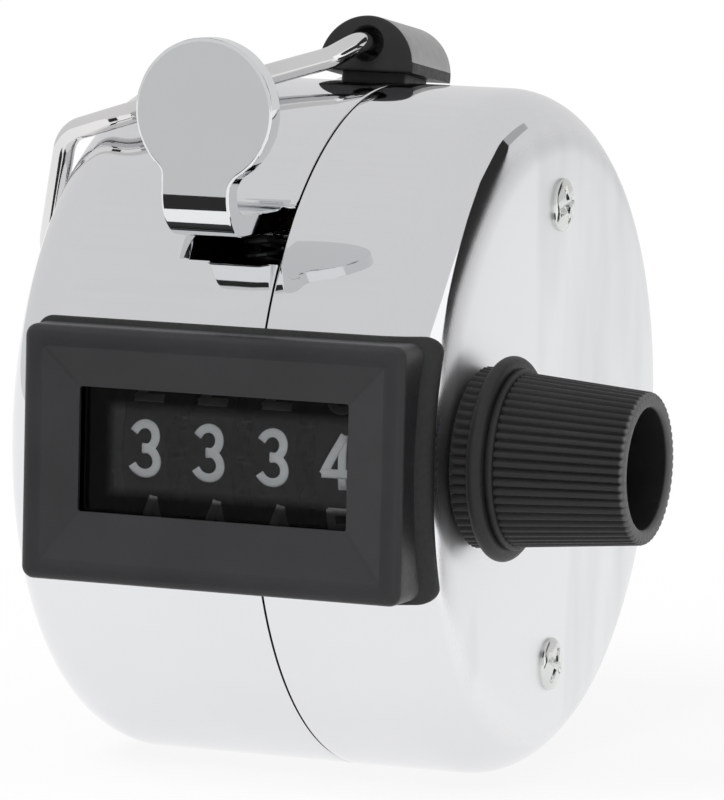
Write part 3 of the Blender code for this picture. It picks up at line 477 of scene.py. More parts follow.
def makeBezel():
    # levels of rounded rectangles: outer wall, round front edge, flat rim, sloped funnel, lip and lens pocket
    edge, front, gap = bezel["edge"], bezel["frontY"], bezel["backGap"]
    sideTop = bezelLevel(0.0, edge)
    back = hugDrum(sideTop.copy(), gap)
    levels = [hugDrum(bezelLevel(bezel["backWall"], edge), gap)]
    for share in np.linspace(0.0, 1.0, 5):
        levels.append(back * (1.0 - share) + sideTop * share)
    for angle in np.linspace(0.0, np.pi / 2, 7)[1:]:
        levels.append(bezelLevel(edge * (1.0 - np.cos(angle)), edge * (1.0 - np.sin(angle))))
    levels.append(bezelLevel(bezel["rim"] - bezel["rimEdge"], 0.0))
    depth, sink = bezel["funnelDepth"], bezel["rimSink"]
    for share in (0.0, 0.04, 0.5, 0.96, 1.0):
        levels.append(windowLevel(share, front + sink + (depth - sink) * share))
    lipY, pocketY = front + depth + bezel["lip"], bezel["pocketBackY"]
    for y, grow in ((lipY, 0.0), (lipY, bezel["pocketStep"]), (pocketY, bezel["pocketStep"]),
                    (pocketY, bezel["pocket"])):
        levels.append(windowLevel(1.0, y, grow))
    levels.append(hugDrum(levels[-1].copy(), gap))
    return gridObject("bezelSkin", np.stack(levels), wrapRows=True, sharp=25.0)


def makeGasket():
    # the same outline a step wider, hugging the drum at two radii
    step = gasket["step"]
    outer = roundedRect(bezel["leftX"] - step, bezel["rightX"] + gasket["rightStep"],
                        bezel["bottomZ"] - step, bezel["topZ"] + step, gasket["outerCorner"])
    inner = roundedRect(windowHole["leftX"], windowHole["rightX"], windowHole["bottomZ"],
                        windowHole["topZ"], gasket["innerCorner"])
    share = np.concatenate([[0.0, 0.02, 0.1, 0.5, 1.0], [1.0, 0.5, 0.1, 0.02, 0.0]])
    gap = gasket["gap"] + gasket["thickness"] * np.array([0.7, 0.95, 1, 1, 1, 0, 0, 0, 0.05, 0.3])
    path = outer[None] * (1.0 - share[:, None, None]) + inner[None] * share[:, None, None]
    y = drumFront(path[..., 0], path[..., 1], gap[:, None])
    grid = np.stack([path[..., 0], y, path[..., 1]], -1)
    return gridObject("gasketSkin", grid, wrapRows=True)


def makeLens():
    # a flat plate with a fine round on its edges
    reach, edge, thickness = lens["reach"], lens["edge"], lens["thickness"]
    left, right = bezel["windowLeftX"] - reach, bezel["windowRightX"] + reach
    bottom, top = bezel["windowBottomZ"] - reach, bezel["windowTopZ"] + reach
    levels = []
    for inset, depth in ((lens["inner"], 0.0), (edge, 0.0), (0.0, edge), (0.0, thickness - edge),
                         (edge, thickness), (lens["inner"], thickness)):
        path = roundedRect(left + inset, right - inset, bottom + inset, top - inset, lens["corner"])
        levels.append(levelAt(path, lens["frontY"] + depth))
    middle = np.array([0.5 * (left + right), lens["frontY"], 0.5 * (bottom + top)])
    firstPole = np.repeat(middle[None], len(levels[0]), 0)
    lastPole = firstPole + np.array([0.0, thickness, 0.0])
    grid = np.stack([firstPole] + levels + [lastPole])
    return gridObject("lensSkin", grid, firstPole=True, lastPole=True)


finish(makeBezel(), looks["bezelPlastic"], "case", "black_plastic", "bezel_frame")
finish(makeGasket(), looks["gasketRubber"], "case", "black_rubber", "bezel_gasket")
finish(makeLens(), addMaterial("lensPlastic", lensLook), "case", "clear_plastic", "window_lens")
print("bezel, gasket and lens made")


# Number wheels

numeral = {"height": 3.5, "width": 2.15, "stroke": 0.53, "raise": 0.025, "strokeStep": 0.004}
shownDigits = {"thousands": 3, "hundreds": 3, "tens": 3, "units": 4}

# A digit is its strokes in a box from -1 to 1: an arc is (centre x, centre y, radius x, radius y, from, to)
# in degrees and a line is (from x, from y, to x, to y).
digitStrokes = {
    0: [(0, 0, 1, 1, 90, 450)],
    1: [(0.1, -1, 0.1, 1), (0.1, 1, -0.55, 0.5)],
    2: [(0, 0.48, 0.95, 0.52, 165, -38), (0.76, 0.17, -0.95, -1), (-1, -1, 1, -1)],
    3: [(0, 0.5, 0.88, 0.5, 152, -90), (0, -0.48, 1, 0.52, 90, -152)],
    4: [(0.45, -1, 0.45, 1), (0.45, 1, -0.95, -0.42), (-1, -0.45, 1, -0.45)],
    5: [(0.85, 1, -0.7, 1), (-0.7, 1, -0.85, 0.02), (0, -0.36, 1, 0.64, 142, -150)],
    6: [(0, -0.42, 0.95, 0.58, 90, 450), (0.35, -0.42, 1.3, 1.42, 180, 80)],
    7: [(-1, 1, 1, 1), (1, 1, -0.3, -1)],
    8: [(0, 0.52, 0.8, 0.48, 90, 450), (0, -0.46, 1, 0.54, 90, 450)],
    9: [(0, 0.42, 0.95, 0.58, 90, 450), (-0.35, 0.42, 1.3, 1.42, 0, -100)],
}


def strokeRibbon(stroke, centreX, middleAngle, lift):
    # the stroke's middle line widened to both sides, then rolled onto the wheel
    halfWide = 0.5 * (numeral["width"] - numeral["stroke"])
    halfTall = 0.5 * (numeral["height"] - numeral["stroke"])
    if len(stroke) == 6:
        cx, cy, rx, ry, start, end = stroke
        angle = np.radians(np.linspace(start, end, 25))
        line = np.stack([cx + rx * np.cos(angle), cy + ry * np.sin(angle)], -1)
    else:
        line = linePoints(stroke[:2], stroke[2:], 6)
    line = line * np.array([halfWide, halfTall])
    along = np.gradient(line, axis=0)
    along /= np.linalg.norm(along, axis=1, keepdims=True)
    half = 0.5 * numeral["stroke"]
    line[0] -= along[0] * half * 0.5
    line[-1] += along[-1] * half * 0.5
    across = np.stack([-along[:, 1], along[:, 0]], -1)
    side = np.linspace(-half, half, 5)[:, None, None]
    flat = line[None] + across[None] * side
    radius = wheelRow["radius"] + lift
    angle = middleAngle + flat[..., 1] / wheelRow["radius"]
    return np.stack(
        [centreX + flat[..., 0], wheelRow["axisY"] - radius * np.cos(angle), radius * np.sin(angle)], -1
    )


def makeNumerals(label, centreX):
    # every digit's ribbons in one mesh, ten digits evenly round the wheel with the next one below
    points, faces, count = [], [], 0
    for digit, strokes in digitStrokes.items():
        middleAngle = -np.radians(36.0) * (digit - shownDigits[label])
        for k, stroke in enumerate(strokes):
            ribbon = strokeRibbon(stroke, centreX, middleAngle, numeral["raise"] + numeral["strokeStep"] * k)
            cells = rowFaces(*ribbon.shape[:2], False, False).reshape(-1, 4) + count
            points.append(ribbon.reshape(-1, 3))
            faces.append(cells)
            count += points[-1].shape[0]
    points, faces = np.concatenate(points), np.concatenate(faces)
    obj = meshObject("numerals_" + label, points, faces.tolist())
    mesh = obj.data
    axis = (np.array([centreX, wheelRow["axisY"], 0.0]) + seamPlace) * mm
    normals = np.array([p.normal for p in mesh.polygons])
    middles = np.array([p.center for p in mesh.polygons]) - axis
    if np.einsum("ij,ij->i", normals[:, 1:], middles[:, 1:]).mean() < 0.0:
        mesh.flip_normals()
    thickness = obj.modifiers.new("paint", "SOLIDIFY")
    thickness.thickness = numeral["raise"] * mm
    thickness.offset = -1.0
    return obj


wheelRim = {"half": 1.47, "edge": 0.16, "inner": 5.4}


def makeWheelRim(label, centreX):
    # a band with rounded edges that covers the wheel's rim, carried round the wheel shaft
    half, edge, radius, inner = wheelRim["half"], wheelRim["edge"], wheelRow["radius"], wheelRim["inner"]
    turn = np.linspace(0, np.pi / 2, 6)
    right = np.stack([half - edge + edge * np.sin(turn[::-1]), radius - edge + edge * np.cos(turn[::-1])], -1)
    left = right[::-1] * np.array([-1.0, 1.0])
    profile = joinPath([(half, inner)], right, linePoints(right[-1], left[0], 4), left, [(-half, inner)])
    angles = np.linspace(0.0, twoPi, 160, endpoint=False)
    grid = turnedGrid(profile + np.array([centreX, 0.0]), angles)
    grid[..., 1] += wheelRow["axisY"]
    return gridObject("wheelRim_" + label, grid, wrapRows=True)


for position, label in enumerate(shownDigits):
    centreX = wheelRow["firstX"] + position * wheelRow["pitch"]
    finish(makeWheelRim(label, centreX), looks["wheelPlastic"], label, "black_plastic")
    finish(makeNumerals(label, centreX), looks["numeralPaint"], label, "black_plastic")
print("number wheels made")


# Reset knob

knob = {
    "leftX": 11.3, "endX": 21.8, "collarLeftX": 12.52, "collarRightX": 13.53, "collarRadius": 6.1,
    "shoulderRadius": 5.38, "shoulderX": 14.0, "startRadius": 5.4, "endRadius": 4.5, "bore": 3.6,
    "floorX": 14.0, "ribs": 56, "ribDepth": 0.2,
    "edge": 0.22, "perRib": 10, "hub": 1.8, "groovePower": 2.2,
}
knobFinish = {"light": (0.016, 0.016, 0.017), "dark": (0.010, 0.010, 0.011), "rough": (0.4, 0.55),
              "grain": 5000.0, "bump": 0.3, "specular": 0.3}
rubbedEnd = {"start": 0.3, "full": 0.12, "colour": (0.10, 0.10, 0.102)}


def knobLook(tree, shader):
    # matt black, with the end ring and the ribs' ends rubbed grey
    plasticLook(tree, shader, **knobFinish)
    rubbed = zoneNode(tree, "X", knob["endX"] - rubbedEnd["start"], knob["endX"] - rubbedEnd["full"])
    overPaint(tree, shader, rubbed, rubbedEnd["colour"])


def makeKnob():
    # a profile of x, radius and rib share from the bore's floor round to the back face
    k = knob
    edge = k["edge"]
    slope = (k["endRadius"] - k["startRadius"]) / (k["endX"] - k["leftX"])

    def sleeveRadius(x):
        return k["startRadius"] + slope * (x - k["leftX"])

    bore = np.concatenate([
        linePoints((k["floorX"], k["hub"]), (k["floorX"], k["bore"] - edge), 3),
        arcPoints((k["floorX"] + edge, k["bore"] - edge), edge, 180.0, 90.0, 3),
        linePoints((k["floorX"] + edge, k["bore"]), (k["endX"] - edge, k["bore"]), 8),
        arcPoints((k["endX"] - edge, k["bore"] + edge), edge, -90.0, 0.0, 4),
    ])
    mouth = arcPoints((k["endX"] - edge, k["endRadius"] - edge), edge, 0.0, 90.0, 4)
    sleeveX = np.linspace(k["endX"] - edge, k["shoulderX"] + 0.03, 24)
    sleeve = np.stack([sleeveX, sleeveRadius(sleeveX)], -1)
    shoulder = arcPoints((k["shoulderX"] - 0.12, k["shoulderRadius"] - 0.12), 0.12, 0.0, 90.0, 4)
    shoulder = np.concatenate([shoulder, [(k["collarRightX"] + 0.08, k["shoulderRadius"])]])
    collarEdge = 0.5 * (k["collarRightX"] - k["collarLeftX"])
    collarMiddle = (k["collarLeftX"] + collarEdge, k["collarRadius"] - collarEdge)
    collar = arcPoints(collarMiddle, collarEdge, 0.0, 180.0, 14)
    collarStart = [(k["collarRightX"], k["startRadius"] - 0.1)]
    collarEnd = [(k["collarLeftX"], k["startRadius"] - 0.1)]
    innerX = np.linspace(k["collarLeftX"], k["leftX"] + 0.15, 5)
    inner = np.stack([innerX, sleeveRadius(innerX)], -1)
    back = np.array([(k["leftX"], k["startRadius"] - 0.2), (k["leftX"], k["hub"])])
    profile = np.concatenate([bore, mouth, sleeve, shoulder, collarStart, collar, collarEnd, inner, back])
    ribShare = np.concatenate([
        np.zeros(len(bore)), np.linspace(0.5, 1.0, len(mouth)), np.ones(len(sleeve)),
        np.zeros(len(shoulder) + len(collarStart) + len(collar) + len(collarEnd)), np.ones(len(inner)),
        np.zeros(len(back)),
    ])
    # narrow grooves between rounded ribs: radius less depth times a raised cosine to a power
    angles = np.linspace(0.0, twoPi, k["ribs"] * k["perRib"], endpoint=False)
    groove = (0.5 + 0.5 * np.cos(k["ribs"] * angles)) ** k["groovePower"]
    radius = profile[:, 1][:, None] - k["ribDepth"] * ribShare[:, None] * groove[None]
    x = profile[:, 0][:, None] + 0.0 * angles
    grid = np.stack([x, wheelRow["axisY"] - radius * np.cos(angles), radius * np.sin(angles)], -1)
    return gridObject("knobSkin", grid, wrapRows=True, sharp=50.0)


finish(makeKnob(), addMaterial("knobPlastic", knobLook), "shaft", "black_plastic", "reset_knob")
print("knob made")


# Case screws

caseScrew = {"z": 14.1, "headX": 11.03, "radius": 1.62, "rimHeight": 0.12, "height": 0.5,
             "recessLong": 1.15, "recessWide": 0.22, "recessDeep": 0.36}


def makeScrew(name, z, turn):
    # a low dome whose cross recess is a smooth step down wherever either bar's distance is inside
    c = caseScrew
    share = np.concatenate([np.linspace(0.0, 1.0, 44), [1.0, 1.0]])[:, None]
    angles = np.linspace(0.0, twoPi, 96, endpoint=False)[None]
    rho = share * c["radius"]
    dome = c["rimHeight"] + (c["height"] - c["rimHeight"]) * np.sqrt(np.maximum(1.0 - share**2, 0.0))
    dome[-2] = 0.04
    dome[-1] = -0.1
    u, v = rho * np.cos(angles), rho * np.sin(angles)
    bars = [np.maximum(np.abs(a) - c["recessLong"], np.abs(b) - c["recessWide"]) for a, b in ((u, v), (v, u))]
    inside = np.clip(0.5 - np.minimum(*bars) / 0.14, 0.0, 1.0)
    taper = np.clip(1.2 - rho / c["recessLong"], 0.35, 1.0)
    height = dome - c["recessDeep"] * taper * inside * inside * (3.0 - 2.0 * inside)
    cos, sin = np.cos(turn), np.sin(turn)
    grid = np.stack([c["headX"] + height, u * cos - v * sin, z + u * sin + v * cos], -1)
    return gridObject(name, grid, firstPole=True)


for label, z, turn in (("upper", caseScrew["z"], 0.35), ("lower", -caseScrew["z"], 1.1)):
    screwSkin = makeScrew(label + "ScrewSkin", z, turn)
    finish(screwSkin, looks["screwChrome"], "case", "chrome", "case_screw_" + label)
print("case screws made")


# Thumb lever

lever = {
    "padX": -2.8, "padZ": 20.25, "padRadius": 4.32, "neckX": -3.25, "neck": 4.3, "frontY": -23.0,
    "thickness": 1.4, "bottomZ": 12.8, "bend": 2.6, "edge": 0.16, "shankEndY": -11.0,
    "leftFillet": 0.9, "rightFillet": 1.3,
    "eyeY": -8.2, "eyeZ": 13.2, "eyeInner": 2.2, "eyeOuter": 3.0,
}


def leverHalfWidth(s, half, fillet):
    # disc width down to the neck, with a hollow fillet where they meet; s runs down from the pad's top
    r, f = lever["padRadius"], fillet
    down = s - r
    disc = np.sqrt(np.maximum(r * r - down * down, 0.0))
    filletX = half + f
    filletDown = np.sqrt((r + f) ** 2 - filletX**2)
    touchDown = filletDown * r / (r + f)
    hollow = filletX - np.sqrt(np.maximum(f * f - (down - filletDown) ** 2, 0.0))
    return np.where(down < touchDown, disc, np.where(down < filletDown, hollow, half))


def makeLever():
    # the plate's front outline laid along its bent middle line; the half thickness falls off in a quarter
    # circle where a point is nearer the outline than the edge radius
    v = lever
    half = 0.5 * v["thickness"]
    middleBend = v["bend"] - half
    straight = v["padZ"] + v["padRadius"] - (v["bottomZ"] + v["bend"])
    turn = 0.5 * np.pi * middleBend
    shank = v["shankEndY"] - (v["frontY"] + v["bend"])
    total = straight + turn + shank
    near = v["padRadius"] * (1.0 - np.cos(np.linspace(0.0, 0.5 * np.pi, 40)))
    s = np.concatenate([
        near,
        np.linspace(near[-1], straight, 46)[1:],
        np.linspace(straight, straight + turn, 25)[1:],
        np.linspace(straight + turn, total, 16)[1:],
    ])
    rightHalf = v["neckX"] + 0.5 * v["neck"] - v["padX"]
    leftHalf = v["padX"] - v["neckX"] + 0.5 * v["neck"]
    t = np.linspace(-1.0, 1.0, 61)
    onRight = t[None] > 0.0
    width = np.where(onRight, leverHalfWidth(s, rightHalf, v["rightFillet"])[:, None],
                     leverHalfWidth(s, leftHalf, v["leftFillet"])[:, None])
    u = np.sin(0.5 * np.pi * t) * 0.6 + 0.4 * np.sin(0.5 * np.pi * np.sin(0.5 * np.pi * t))
    x = width * u[None]
    fine = np.concatenate([v["padRadius"] * (1.0 - np.cos(np.linspace(0, 0.5 * np.pi, 200))),
                           np.linspace(v["padRadius"], total, 500)[1:]])
    fineWidth = np.where(onRight[..., None], leverHalfWidth(fine, rightHalf, v["rightFillet"]),
                         leverHalfWidth(fine, leftHalf, v["leftFillet"]))
    gap = np.hypot(np.abs(x)[..., None] - fineWidth, s[:, None, None] - fine)
    distance = gap.min(-1)
    distance[:, 0] = distance[:, -1] = 0.0
    inward = np.clip(1.0 - distance / v["edge"], 0.0, 1.0)
    thick = half - v["edge"] + v["edge"] * np.sqrt(1.0 - inward**2)
    angle = np.clip((s - straight) / middleBend, 0.0, 0.5 * np.pi)
    centreY = v["frontY"] + v["bend"] - middleBend * np.cos(angle) + np.maximum(s - straight - turn, 0.0)
    bentZ = v["bottomZ"] + v["bend"] - middleBend * np.sin(angle)
    centreZ = np.where(s < straight, v["padZ"] + v["padRadius"] - s, bentZ)
    outward = np.stack([0.0 * angle, -np.cos(angle), -np.sin(angle)], -1)[:, None]
    middle = np.stack([v["padX"] + x, centreY[:, None] + 0.0 * x, centreZ[:, None] + 0.0 * x], -1)
    front = middle + thick[..., None] * outward
    back = middle - thick[..., None] * outward
    loop = np.concatenate([front, back[:, ::-1]], axis=1)
    cap = np.repeat(loop[-1].mean(0)[None, None], loop.shape[1], 1)
    return gridObject("leverSkin", np.concatenate([loop, cap]), lastPole=True, sharp=60.0)


def makeLeverEye():
    # a ring round the sleeve, its section a rounded rectangle
    v = lever
    half = 0.5 * v["neck"]
    section = roundedRect(v["neckX"] - half, v["neckX"] + half, v["eyeInner"], v["eyeOuter"], 0.15, 6, 4)
    angles = np.linspace(0.0, twoPi, 72, endpoint=False)
    grid = turnedGrid(section, angles)
    grid[..., 1] += v["eyeY"]
    grid[..., 2] += v["eyeZ"]
    return gridObject("leverEyeSkin", grid, wrapRows=True)


finish(makeLever(), looks["padChrome"], "lever", "chrome", "thumb_lever")
finish(makeLeverEye(), looks["padChrome"], "lever", "chrome")
print("thumb lever made")


# Ring boss

boss = {"x": -2.35, "y": 3.9, "z": 21.45, "tilt": -8.5, "radius": 3.12, "length": 6.7, "flat": -0.3,
        "edge": 0.14, "tunnelHeight": 1.38, "tunnel": 1.0, "neckHalf": 2.1, "neckLength": 4.4,
        "footTop": -1.76, "foot": -2.56, "footStep": 0.8, "sheenBandFrom": 6, "mouth": 0.15}


def bossPlace(local):
    # local x, along and up, turned by the tilt and put on the boss's centre
    tilt = np.radians(boss["tilt"])
    x, along, up = local[..., 0], local[..., 1], local[..., 2]
    return np.stack([boss["x"] + x, boss["y"] + along * np.cos(tilt) - up * np.sin(tilt),
                     boss["z"] + along * np.sin(tilt) + up * np.cos(tilt)], -1)


def bossOutline(inset):
    # a circle cut off by a flat below its centre, with small rounds where they meet
    r = boss["radius"] - inset
    flat = boss["flat"] + inset
    start = np.arcsin(flat / r)
    angles = np.linspace(start, np.pi - start, 97)
    arc = np.stack([r * np.cos(angles), r * np.sin(angles)], -1)
    under = linePoints(arc[-1], arc[0], 24)[1:-1]
    return np.concatenate([arc, under])


def makeBoss():
    # rings of one outline: tunnel wall, front face out from the tunnel's mouth, rounded edge, side, rear face
    b = boss
    outer = bossOutline(0.0)
    angle = np.arctan2(outer[:, 1] - b["tunnelHeight"], outer[:, 0])
    tunnel = np.stack([b["tunnel"] * np.cos(angle), b["tunnelHeight"] + b["tunnel"] * np.sin(angle)], -1)
    half, edge = 0.5 * b["length"], b["edge"]
    levels = []

    def put(outline, along):
        levels.append(levelAt(outline, along))

    for along in np.linspace(half - b["mouth"], -half + b["mouth"], 8):
        put(tunnel, along)
    centre = np.array([0.0, b["tunnelHeight"]])
    mouth = centre + (tunnel - centre) * (1.0 + b["mouth"])
    put(mouth, -half)
    inner = bossOutline(edge)
    for share in (0.25, 0.5, 0.75):
        put(mouth * (1.0 - share) + inner * share, -half)
    for turn in np.linspace(0.0, np.pi / 2, 6):
        put(bossOutline(edge * (1.0 - np.sin(turn))), -half + edge * (1.0 - np.cos(turn)))
    for along in np.linspace(-half + edge, half - edge, 10)[1:-1]:
        put(outer, along)
    for turn in np.linspace(np.pi / 2, 0.0, 6):
        put(bossOutline(edge * (1.0 - np.sin(turn))), half - edge * (1.0 - np.cos(turn)))
    for share in (0.75, 0.5, 0.25):
        put(mouth * (1.0 - share) + inner * share, half)
    put(mouth, half)
    skin = gridObject("bossSkin", bossPlace(np.stack(levels)), wrapRows=True, sharp=45.0)
    # the round side gets a grey metal colour as painted sheen of the black plastic: cells between the two
    # rounded edges, short of the flat
    level, column = np.meshgrid(np.arange(len(levels)), np.arange(len(outer)), indexing="ij")
    sheenBanded = (level >= 15) & (level <= 27) & (column >= b["sheenBandFrom"]) & (column < 96 - b["sheenBandFrom"])
    skin.data.materials.append(looks["bossPlastic"])
    skin.data.materials.append(looks["bossSheenBand"])
    skin.data.polygons.foreach_set("material_index", sheenBanded.ravel().astype(np.int32))
    return skin


def makeBossNeck():
    # a rounded block that carries the boss down through the shell
    b = boss
    levels = []
    top, footTop, wider = b["flat"] + 0.4, b["footTop"], b["footStep"]
    for up, grow in ((top, 0.0), (footTop + 0.05, 0.0), (footTop, wider), (b["foot"], wider)):
        path = roundedRect(-b["neckHalf"] - grow, b["neckHalf"] + grow, -0.5 * b["neckLength"],
                           0.5 * b["neckLength"], 0.5)
        levels.append(np.stack([path[:, 0], path[:, 1], np.full(len(path), up)], -1))
    first = np.repeat(levels[0].mean(0)[None], len(levels[0]), 0)
    last = np.repeat(levels[-1].mean(0)[None], len(levels[0]), 0)
    grid = bossPlace(np.stack([first] + levels + [last]))
    return gridObject("bossNeckSkin", grid, firstPole=True, lastPole=True)


finish(makeBoss(), None, "case", "black_plastic", "ring_boss")
finish(makeBossNeck(), looks["bossPlastic"], "case", "black_plastic")
print("ring boss made")


# Finger ring

ringWire = {"radius": 0.68, "bend": 2.2, "endGap": 0.6, "frontReach": 4.45, "backReach": 4.55, "sides": 24}
ringCorners = [
    (-3.4, -2.5, 22.5),
    (-13.0, -12.0, 19.0),
    (-17.3, -10.5, 17.7),
    (-18.9, -9.1, 11.1),
    (-18.3, -8.0, -2.0),
    (-18.3, 12.5, -2.0),
    (-18.0, 16.5, 16.0),
]


def roundedPath(corners, bend, steps):
    # straight runs with each corner turned through an arc that touches both
    path = [corners[0][None]]
    for before, corner, after in zip(corners, corners[1:], corners[2:]):
        first, second = np.linalg.norm(before - corner), np.linalg.norm(after - corner)
        inward, outward = (before - corner) / first, (after - corner) / second
        half = 0.5 * np.arccos(np.clip(inward @ outward, -1.0, 1.0))
        reach = min(bend / np.tan(half), 0.45 * min(first, second))
        radius = reach * np.tan(half)
        middle = (inward + outward) / np.linalg.norm(inward + outward)
        centre = corner + middle * radius / np.sin(half)
        start, end = corner + inward * reach - centre, corner + outward * reach - centre
        sweep = np.pi - 2.0 * half
        share = np.linspace(0.0, sweep, steps)[:, None]
        path.append(centre + (start * np.sin(sweep - share) + end * np.sin(share)) / np.sin(sweep))
    path.append(corners[-1][None])
    return np.concatenate(path)


def tubeGrid(path, radius, sides):
    # circles carried along the path, each turned on from the last by the least rotation
    along = np.gradient(path, axis=0)
    along /= np.linalg.norm(along, axis=1, keepdims=True)
    side = np.cross(along[0], [0.0, 0.0, 1.0])
    if np.linalg.norm(side) < 0.1:
        side = np.cross(along[0], [1.0, 0.0, 0.0])
    sideways = []
    for direction in along:
        side = side - direction * (side @ direction)
        side = side / np.linalg.norm(side)
        sideways.append(side)
    sideways = np.array(sideways)
    upward = np.cross(along, sideways)
    angles = np.linspace(0.0, twoPi, sides, endpoint=False)
    ring = np.cos(angles)[None, :, None] * sideways[:, None] + np.sin(angles)[None, :, None] * upward[:, None]
    return path[:, None] + np.broadcast_to(radius, (len(path),))[:, None, None] * ring


def evenPath(path, spacing):
    length = np.concatenate([[0.0], np.cumsum(np.linalg.norm(np.diff(path, axis=0), axis=1))])
    at = np.linspace(0.0, length[-1], int(length[-1] / spacing))
    return np.stack([np.interp(at, length, path[:, k]) for k in range(3)], -1)


def makeFingerRing():
    # an open wire through the rounded corners, its two ends rounded off inside the tunnel
    w = ringWire
    centre = bossPlace(np.array([0.0, 0.0, boss["tunnelHeight"]]))
    forward = bossPlace(np.array([0.0, 1.0, boss["tunnelHeight"]])) - centre
    corners = [centre - forward * 0.5 * w["endGap"], centre - forward * w["frontReach"]]
    corners += [np.array(point) for point in ringCorners]
    corners += [centre + forward * w["backReach"], centre + forward * 0.5 * w["endGap"]]
    path = evenPath(roundedPath(corners, w["bend"], 16), 0.25)
    radius = np.full(len(path), w["radius"])
    radius[0] = radius[-1] = 1e-4
    radius[1] = radius[-2] = 0.8 * w["radius"]
    grid = tubeGrid(path, radius, w["sides"])
    return gridObject("ringSkin", grid, firstPole=True, lastPole=True)


finish(makeFingerRing(), looks["wireChrome"], "ring", "chrome", "finger_ring")
print("finger ring made")


# CAD nodes that stay in view

innerLooks = {
    "innerSteel": ["frame_plate_left", "frame_plate_right", "frame_spacer_upper", "frame_spacer_lower",
                           "frame_spacer_front", "spring_shelf", "pinion_shaft", "lever_pivot_pin",
                           "case_post_upper", "case_post_lower", "detent_spring", "lever_return_spring",
                           "drive_arm", "pawl_pin", "drive_pawl", "wheel_shaft", "shaft_clip", "knob_screw",
                           "ratchet_wheel"],
    "innerBrass": ["shaft_bush_left", "shaft_bush_right", "lever_sleeve", "carry_pinion_thousands",
                   "carry_pinion_hundreds", "carry_pinion_tens"],
    "wheelPlastic": ["wheel_thousands", "wheel_hundreds", "wheel_tens", "wheel_units"],
}
for look, names in innerLooks.items():
    for name in names:
        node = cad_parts[name]
        node.data.materials.clear()
        node.data.materials.append(looks[look])
print("inner nodes finished")


# Floor, light and camera

studio = {"floor": (0.9, 0.9, 0.9), "floorRadius": 3.0, "floorWhite": 0.85, "worldFill": 0.42, "tent": 0.75}

# Flags lie on the floor in front, where the camera's view lands once the thumb pad or the lens turns it back.
flags = {
    "nearFlag": {"bearing": (-33.0, -11.0), "from": 0.06, "to": 0.275, "glow": 0.03},
    "farFlag": {"bearing": (-38.0, -6.0), "from": 0.275, "to": 1.6, "glow": 0.64},
}

# Cards that show on the rim fillet: angle up the drum's front, and where the card's two edges show across the
# fillet (0 is the drum's wall, 90 its face), in degrees.
rimCards = {
    "rimFlag": {
        "around": [68.5, 66.0, 60.5, 55.0, 46.0, 38.0, 30.0, 22.5, 15.5, 8.5, 1.0, -10.0, -18.0, -24.0],
        "from": [46.0, 46.3, 48.3, 49.0, 52.0, 54.0, 55.5, 58.0, 63.5, 68.0, 70.5, 69.0, 66.0, 63.0],
        "to": [53.5, 57.0, 63.0, 68.0, 67.5, 66.5, 64.0, 65.0, 69.5, 74.5, 77.5, 77.0, 73.5, 68.0],
        "distance": 250.0, "floorGap": 1.5, "glow": 0.03,
    },
    "rimHaze": {
        "around": [78.0, 73.0, 68.55], "from": [48.0, 47.0, 46.0], "to": [54.0, 54.0, 53.5],
        "distance": 250.0, "floorGap": 1.5, "glow": 0.45,
    },
    "rimGlow": {
        "around": [40.0, 30.0, 22.5, 15.5, 8.5, 1.0, -10.0, -18.0, -24.0],
        "from": [53.0, 50.5, 46.0, 50.0, 54.0, 56.0, 55.0, 52.0, 50.0],
        "to": [53.2, 55.3, 57.8, 63.3, 67.8, 70.3, 68.8, 65.8, 62.8],
        "distance": 250.0, "floorGap": 1.5, "glow": 1.2,
    },
}


def addStage(obj):
    bpy.context.scene.collection.objects.link(obj)
    return obj


def lightPathShare(tree, *rays):
    # 1 for the kinds of ray that are named, otherwise 0
    path = tree.nodes.new("ShaderNodeLightPath")
    share = path.outputs[rays[0]]
    for ray in rays[1:]:
        share = largerNode(tree, share, path.outputs[ray])
    return share


def makeFloor():
    # a disc whose middle is a point; the paper goes over to plain white away from the object
    angles = np.linspace(0.0, twoPi, 96, endpoint=False)
    ring = studio["floorRadius"] * np.stack([np.cos(angles), np.sin(angles), 0.0 * angles], -1)
    mesh = bpy.data.meshes.new("floor")
    mesh.from_pydata(ring.tolist(), [], [list(range(96))])
    floor = addStage(bpy.data.objects.new("floor", mesh))

    def look(tree, shader):
        grain = noiseNode(tree, 30.0, 3.0)
        grey = studio["floor"]
        soft = tuple(0.985 * c for c in grey)
        paper = mixNode(tree, rangeNode(tree, grain, 0.0, 1.0), soft, grey)
        tree.links.new(paper, shader.inputs["Base Color"])
        shader.inputs["Roughness"].default_value = 0.8
        shader.inputs["Specular IOR Level"].default_value = 0.0
        glow = tree.nodes.new("ShaderNodeEmission")
        length = tree.nodes.new("ShaderNodeVectorMath")
        length.operation = "LENGTH"
        place = tree.nodes.new("ShaderNodeTexCoord")
        tree.links.new(place.outputs["Object"], length.inputs[0])
        away = rangeNode(tree, length.outputs["Value"], studio["floorWhite"], 1.0, 0.05, 0.11)
        both = tree.nodes.new("ShaderNodeMath")
        both.operation = "MULTIPLY"
        tree.links.new(away, both.inputs[0])
        seen = lightPathShare(tree, "Is Camera Ray", "Is Glossy Ray", "Is Transmission Ray")
        tree.links.new(seen, both.inputs[1])
        mix = tree.nodes.new("ShaderNodeMixShader")
        tree.links.new(both.outputs[0], mix.inputs["Fac"])
        tree.links.new(shader.outputs["BSDF"], mix.inputs[1])
        tree.links.new(glow.outputs["Emission"], mix.inputs[2])
        output = next(node for node in tree.nodes if node.type == "OUTPUT_MATERIAL")
        tree.links.new(mix.outputs[0], output.inputs["Surface"])

    mesh.materials.append(addMaterial("floorPaper", look))
    return floor


